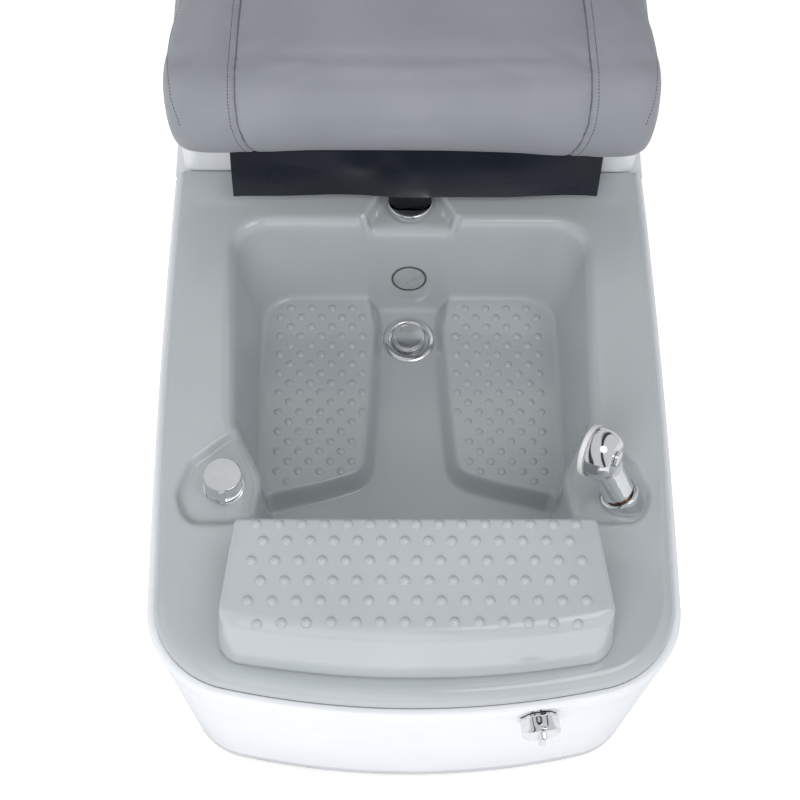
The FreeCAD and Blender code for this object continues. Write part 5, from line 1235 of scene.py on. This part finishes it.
def setPlaces(mesh, places):
    mesh.vertices.foreach_set("co", places.astype(np.float32).ravel())
    mesh.update()


def swollen(values, held):
    # the pad is drawn in a little, swells under pressure and is held along its seams and where it rests
    piece = remeshedCopy(values["node"], values["name"], values["voxel"])
    mesh = piece.data
    rest = values["shape"](meshPlaces(mesh))
    setPlaces(mesh, rest)
    normals = meshNormals(mesh)
    start = rest - normals * values["shrink"]
    setPlaces(mesh, start)
    near = np.abs(np.abs(rest[:, 0]) - values["seamAt"](rest))
    seam = np.clip(1 - near / values["pinReach"], 0, 1)
    pinned = np.clip(np.maximum(seam, held(rest, normals)), 0, 1)
    group = piece.vertex_groups.new(name="held")
    for index in np.nonzero(pinned > coverLimits["leastHeld"])[0]:
        group.add([int(index)], float(pinned[index]), "REPLACE")
    cloth = piece.modifiers.new("swell", "CLOTH")
    settings = cloth.settings
    for key, value in coverCloth.items():
        setattr(settings, key, value)
    settings.uniform_pressure_force = values["pressure"]
    settings.effector_weights.gravity = 0
    cloth.collision_settings.use_collision = False
    cloth.point_cache.frame_start = 1
    cloth.point_cache.frame_end = coverLimits["frames"]
    for frameNumber in range(1, coverLimits["frames"] + 1):
        bpy.context.scene.frame_set(frameNumber)
    depsgraph = bpy.context.evaluated_depsgraph_get()
    swollenMesh = bpy.data.meshes.new_from_object(piece.evaluated_get(depsgraph))
    moved = meshPlaces(swollenMesh)
    piece.modifiers.clear()
    bpy.context.scene.frame_set(1)
    shift = moved - start
    outward = (shift * normals).sum(axis=1)[:, None]
    sliding = (shift - normals * outward) * coverLimits["slidingShare"]
    length = np.linalg.norm(sliding, axis=1)[:, None]
    sliding *= np.minimum(1, coverLimits["sliding"] / np.maximum(length, 1e-9))
    outwardHeld = np.clip(outward, coverLimits["inward"], values["cap"])
    setPlaces(mesh, start + normals * outwardHeld + sliding)
    print(values["name"], "swelled by up to", round(float(outward.max()) * 1000, 1), "mm")
    return piece


def subdivided(piece):
    subdivision = piece.modifiers.new("fine", "SUBSURF")
    subdivision.levels = 1
    subdivision.render_levels = 1
    depsgraph = bpy.context.evaluated_depsgraph_get()
    fine = bpy.data.meshes.new_from_object(piece.evaluated_get(depsgraph))
    piece.modifiers.clear()
    piece.data = fine
    for polygon in fine.polygons:
        polygon.use_smooth = True
    return piece


puckers = {"depth": 0.25, "along": 420, "upward": 390}


def groove(piece, seamAt, width, depth, where):
    # draws the cover in along a sewn line at both sides of the middle
    mesh = piece.data
    places = meshPlaces(mesh)
    normals = meshNormals(mesh)
    near = np.abs(np.abs(places[:, 0]) - seamAt(places)) / width
    share = np.exp(-near ** 2) * where(places)
    waves = np.sin(places[:, 1] * puckers["along"]) * np.sin(places[:, 2] * puckers["upward"])
    pucker = 1 + puckers["depth"] * waves
    setPlaces(mesh, places - normals * (depth * share * pucker)[:, None])


def surfaceTree(piece):
    mesh = piece.data
    return BVHTree.FromPolygons([v.co for v in mesh.vertices], [p.vertices for p in mesh.polygons])


def tubeAlong(bm, line, normals, radius, sides=6, flat=1.0):
    # a closed thin tube along a line, its section squashed along the surface's normal
    rings = []
    count = len(line)
    for index, spot in enumerate(line):
        ahead = (line[min(index + 1, count - 1)] - line[max(index - 1, 0)]).normalized()
        out = (normals[index] - ahead * normals[index].dot(ahead)).normalized()
        across = ahead.cross(out)
        taper = 0.35 if index in (0, count - 1) else 1.0
        rings.append([bm.verts.new(spot + (across * math.cos(math.tau * k / sides)
                                           + out * (flat * math.sin(math.tau * k / sides))) * radius * taper)
                      for k in range(sides)])
    for low, high in zip(rings, rings[1:]):
        for k in range(sides):
            bm.faces.new((low[k], low[(k + 1) % sides], high[(k + 1) % sides], high[k]))
    bm.faces.new(rings[0][::-1])
    bm.faces.new(rings[-1])


def layOn(tree, spots, directions, lift):
    # drops points on a surface along directions, and gives the surface's normals there
    line, normals = [], []
    for spot, direction in zip(spots, directions):
        place, normal, face, distance = tree.ray_cast(spot, direction)
        if place is None:
            continue
        if normal.dot(direction) > 0:
            normal = -normal
        line.append(place + normal * lift)
        normals.append(normal)
    return line, normals


def stitches(bm, line, normals, pitch, length, radius):
    # short raised threads along a laid line
    runs = [0.0]
    for before, here in zip(line, line[1:]):
        runs.append(runs[-1] + (here - before).length)
    marks = np.array(runs)
    spots = np.array(line)
    outs = np.array(normals)

    def sample(table, mark):
        return Vector([float(np.interp(mark, marks, table[:, k])) for k in range(3)])

    mark = pitch / 2
    while mark + length < runs[-1]:
        points = [sample(spots, mark + length * share) for share in (0.0, 0.5, 1.0)]
        rising = [sample(outs, mark + length * share).normalized() for share in (0.0, 0.5, 1.0)]
        points = [point + out * lift for point, out, lift in zip(points, rising, (-0.0002, 0.00022, -0.0002))]
        tubeAlong(bm, points, rising, radius, 5)
        mark += pitch


# Seat

def seatHeld(places, normals):
    # still where the pad rests on its board and at the flap
    v = seatForm
    behind = places[:, 1] > rimFront + (v["rollStation"] + 20.0) / 1000
    under = (places[:, 2] < 0.487) & behind
    underRoll = np.clip((0.462 - places[:, 2]) / 0.006, 0, 1)
    return np.maximum(under * 1.0, underRoll)


def padRays(side, topHalf, rollHalf, rear, rows, last, turns):
    # rays down on the top, then round the roll's front, at distances from the middle that two functions give
    v = seatForm
    spots, directions = [], []
    for station in np.linspace(rear, v["rollStation"] + 2, rows):
        spots.append(at(side * topHalf(station), station, 700.0))
        directions.append(Vector((0, 0, -1)))
    for degrees in np.linspace(1, last, turns):
        angle = math.radians(degrees)
        out = Vector((0, -math.sin(angle), math.cos(angle)))
        spots.append(at(side * rollHalf(degrees), v["rollStation"], v["rollHeight"]) + out * 0.12)
        directions.append(-out)
    return spots, directions


def seamRays(side, gap):
    # along a line beside one panel seam
    v = seatForm
    topHalf = lambda station: float(np.interp(station, v["slabStations"], v["slabHalves"])) + gap
    rollHalf = lambda degrees: float(np.interp(degrees, v["seamAngles"], v["seamHalves"])) + gap
    return padRays(side, topHalf, rollHalf, v["slabRear"] - 6, 70, 128, 80)


def endRays(side):
    # a little inside the pad's ends
    v = seatForm
    stations, reaches = zip(*v["endStitch"])
    topHalf = lambda station: float(np.interp(station, stations, reaches))
    rollHalf = lambda degrees: topHalf(v["rollStation"] - v["rollRadius"] * math.sin(math.radians(degrees)))
    return padRays(side, topHalf, rollHalf, v["slabRear"] - 30, 90, 76, 60)


def makeSeat():
    v = seatForm
    values = cushions["seat"]
    piece = subdivided(swollen(values, seatHeld))
    above = lambda p: np.clip((p[:, 2] - 0.452) / 0.01, 0, 1)
    for width, depth in v["grooves"]:
        groove(piece, seatSeam, width, depth, above)
    finishPiece(piece, "seat", "leatherGrey", [values["node"]])
    tree = surfaceTree(piece)
    welts = bmesh.new()
    threads = bmesh.new()
    for side in (1, -1):
        line, normals = layOn(tree, *seamRays(side, 0.0), -0.0003)
        tubeAlong(welts, line, normals, v["weltRadius"], 8)
        line, normals = layOn(tree, *seamRays(side, v["stitchGap"]), 0.0)
        stitches(threads, line, normals, v["stitchPitch"], v["stitchLength"], v["threadRadius"])
        line, normals = layOn(tree, *endRays(side), 0.0)
        stitches(threads, line, normals, v["stitchPitch"], v["stitchLength"], v["threadRadius"])
    welt = pieceFrom(welts, "seatWelts")
    finishPiece(welt, "seat", "weltDark")
    thread = pieceFrom(threads, "seatStitching")
    finishPiece(thread, "seat", "threadDark")
    print("seat:", len(piece.data.polygons), "faces;", len(thread.data.polygons), "thread faces")


# Backrest pad

def backHeld(places, normals):
    # still over its whole rear face, which rests on the board
    return np.clip((normals[:, 1] - 0.75) / 0.1, 0, 1)


def makeBack():
    v = backForm
    values = cushions["back"]
    piece = subdivided(swollen(values, backHeld))
    facing = lambda p: np.ones(len(p))
    groove(piece, values["seamAt"], 0.0045, 0.0032, facing)
    finishPiece(piece, "seat", "leatherGrey", [values["node"]])
    tree = surfaceTree(piece)
    threads = bmesh.new()
    low, high = [Vector(corner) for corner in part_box("back_cushion")]
    for side in (1, -1):
        for gap in (-v["stitchGap"], v["stitchGap"]):
            x = side * v["seam"] + gap
            heights = [low.z + v["endGap"] + (high.z - low.z - 2 * v["endGap"]) * step / 90
                       for step in range(91)]
            spots = [Vector((x, low.y - 0.1, height)) for height in heights]
            line, normals = layOn(tree, spots, [Vector((0, 1, 0))] * len(spots), 0.0)
            stitches(threads, line, normals, seatForm["stitchPitch"] * v["stitchScale"],
                     seatForm["stitchLength"] * v["stitchScale"], seatForm["threadRadius"])
    thread = pieceFrom(threads, "backStitching")
    finishPiece(thread, "seat", "threadDark")
    print("back:", len(piece.data.polygons), "faces")


# Splash flap

flap = {"left": -243.0, "right": 257.0, "hang": 748.0, "bottom": 363.0, "roll": 65.6, "boardTop": 461.7,
        "clampFront": 858.0, "clampRear": 882.0, "thick": 1.5, "columns": 190, "hangRows": 60, "hem": 9.0,
        "billow": 3.2, "stand": 5.0, "sag": 1.6, "rearmost": -0.2, "dentAt": 0.3, "dentReach": 0.22,
        "dents": [(-66.0, 30.0, 5.0), (-30.0, 26.0, -4.0), (4.0, 24.0, 3.5), (118.0, 60.0, 2.5),
                  (-165.0, 60.0, -2.2)],
        "hemSwell": 0.45, "hemStitch": 1.8, "lowStitch": 7.0, "threadRadius": 0.0003}


def flapPath():
    # (station, height) points from the clamp round under the roll and down
    v = flap
    centre = np.array([seatForm["rollStation"], seatForm["rollHeight"]])
    radius = v["roll"] + v["thick"] / 2
    reach = v["clampFront"] - centre[0]
    drop = v["boardTop"] - v["thick"] / 2 - centre[1]
    lowAngle = math.atan2(drop, reach) - math.acos(radius / math.hypot(reach, drop))
    hang = v["hang"] + v["thick"] / 2
    highAngle = -math.pi + math.acos((centre[0] - hang) / radius)
    points = [(v["clampRear"], v["boardTop"] - v["thick"] / 2),
              (v["clampFront"], v["boardTop"] - v["thick"] / 2)]
    for step in range(1, 7):
        share = step / 7
        tangent = (centre[0] + radius * math.cos(lowAngle), centre[1] + radius * math.sin(lowAngle))
        points.append((points[1][0] + (tangent[0] - points[1][0]) * share,
                       points[1][1] + (tangent[1] - points[1][1]) * share))
    for step in range(25):
        angle = lowAngle + (highAngle - lowAngle) * step / 24
        points.append((centre[0] + radius * math.cos(angle), centre[1] + radius * math.sin(angle)))
    top = points[-1][1]
    for step in range(1, v["hangRows"] + 1):
        points.append((hang, top + (v["bottom"] - top) * step / v["hangRows"]))
    return np.array(points), top


def makeFlap():
    v = flap
    path, hangTop = flapPath()
    xs = np.linspace(v["left"], v["right"], v["columns"])
    inward = np.minimum(xs - v["left"], v["right"] - xs)
    slope = np.gradient(path, axis=0)
    slope /= np.linalg.norm(slope, axis=1)[:, None]
    out = np.stack([slope[:, 1], -slope[:, 0]], axis=1)
    share = np.clip((hangTop - path[:, 1]) / (hangTop - v["bottom"]), 0, 1)
    waves = (np.sin(xs * 0.019 + 0.6) + 0.45 * np.sin(xs * 0.041 + 2.1)) * v["billow"]
    hem = eased((v["hem"] - inward) / 1.5) * v["hemSwell"]
    front, rear = [], []
    for row in range(len(path)):
        belly = math.sin(math.pi * min(share[row] * 0.75, 1.0))
        moved = waves * belly ** 1.2
        sag = v["sag"] * np.sin(math.pi * share[row]) * np.sin(xs * 0.013 + 1.0)
        for middle, width, depth in v["dents"]:
            across = np.exp(-((xs - middle) / width) ** 2)
            sag = sag + depth * across * np.exp(-((share[row] - v["dentAt"]) / v["dentReach"]) ** 2)
        half = v["thick"] / 2 + hem * share[row] ** 0.2
        forward = np.maximum(moved + sag + v["stand"] * belly, v["rearmost"])
        station = path[row, 0] - forward
        level = np.full(len(xs), path[row, 1])
        for side, rows in ((1, front), (-1, rear)):
            rows.append(np.stack([xs, station + out[row, 0] * half * side,
                                  level + out[row, 1] * half * side], axis=1))
    front, rear = np.array(front), np.array(rear)
    loopRows = np.concatenate([front, rear[:, ::-1]], axis=1)
    piece = sealed(ringStack("splashSheet", raised(loopRows[..., :2], loopRows[..., 2])))
    splitSharp(piece, 55)
    finishPiece(piece, "seat", "vinylBlack", ["splash_flap"])
    tree = surfaceTree(piece)
    threads = bmesh.new()
    lines = [[(x, hangTop - 4 - (hangTop - v["bottom"] - 6) * step / 60) for step in range(61)]
             for x in (v["left"] + v["hem"] - v["hemStitch"], v["right"] - v["hem"] + v["hemStitch"])]
    lines.append([(v["left"] + 3 + (v["right"] - v["left"] - 6) * step / 200, v["bottom"] + v["lowStitch"])
                  for step in range(201)])
    for spotsPlan in lines:
        spots = [at(x, v["hang"] - 60, z) for x, z in spotsPlan]
        line, normals = layOn(tree, spots, [Vector((0, 1, 0))] * len(spots), 0.0)
        stitches(threads, line, normals, seatForm["stitchPitch"], seatForm["stitchLength"],
                 v["threadRadius"])
    thread = pieceFrom(threads, "flapStitching")
    finishPiece(thread, "seat", "threadBlack")


# Run

makeCamera()
makeFinishes()
dressNodes()
makeStudio()
print("camera, finishes and studio ready")
makeBasin()
makePadBumps()
makeHousing()
makeFootrest()
makeMixerKnob()
makeCollar()
makeSprayHandle()
makeDrainKnob()
makeFittings()
makeSeat()
makeBack()
makeFlap()
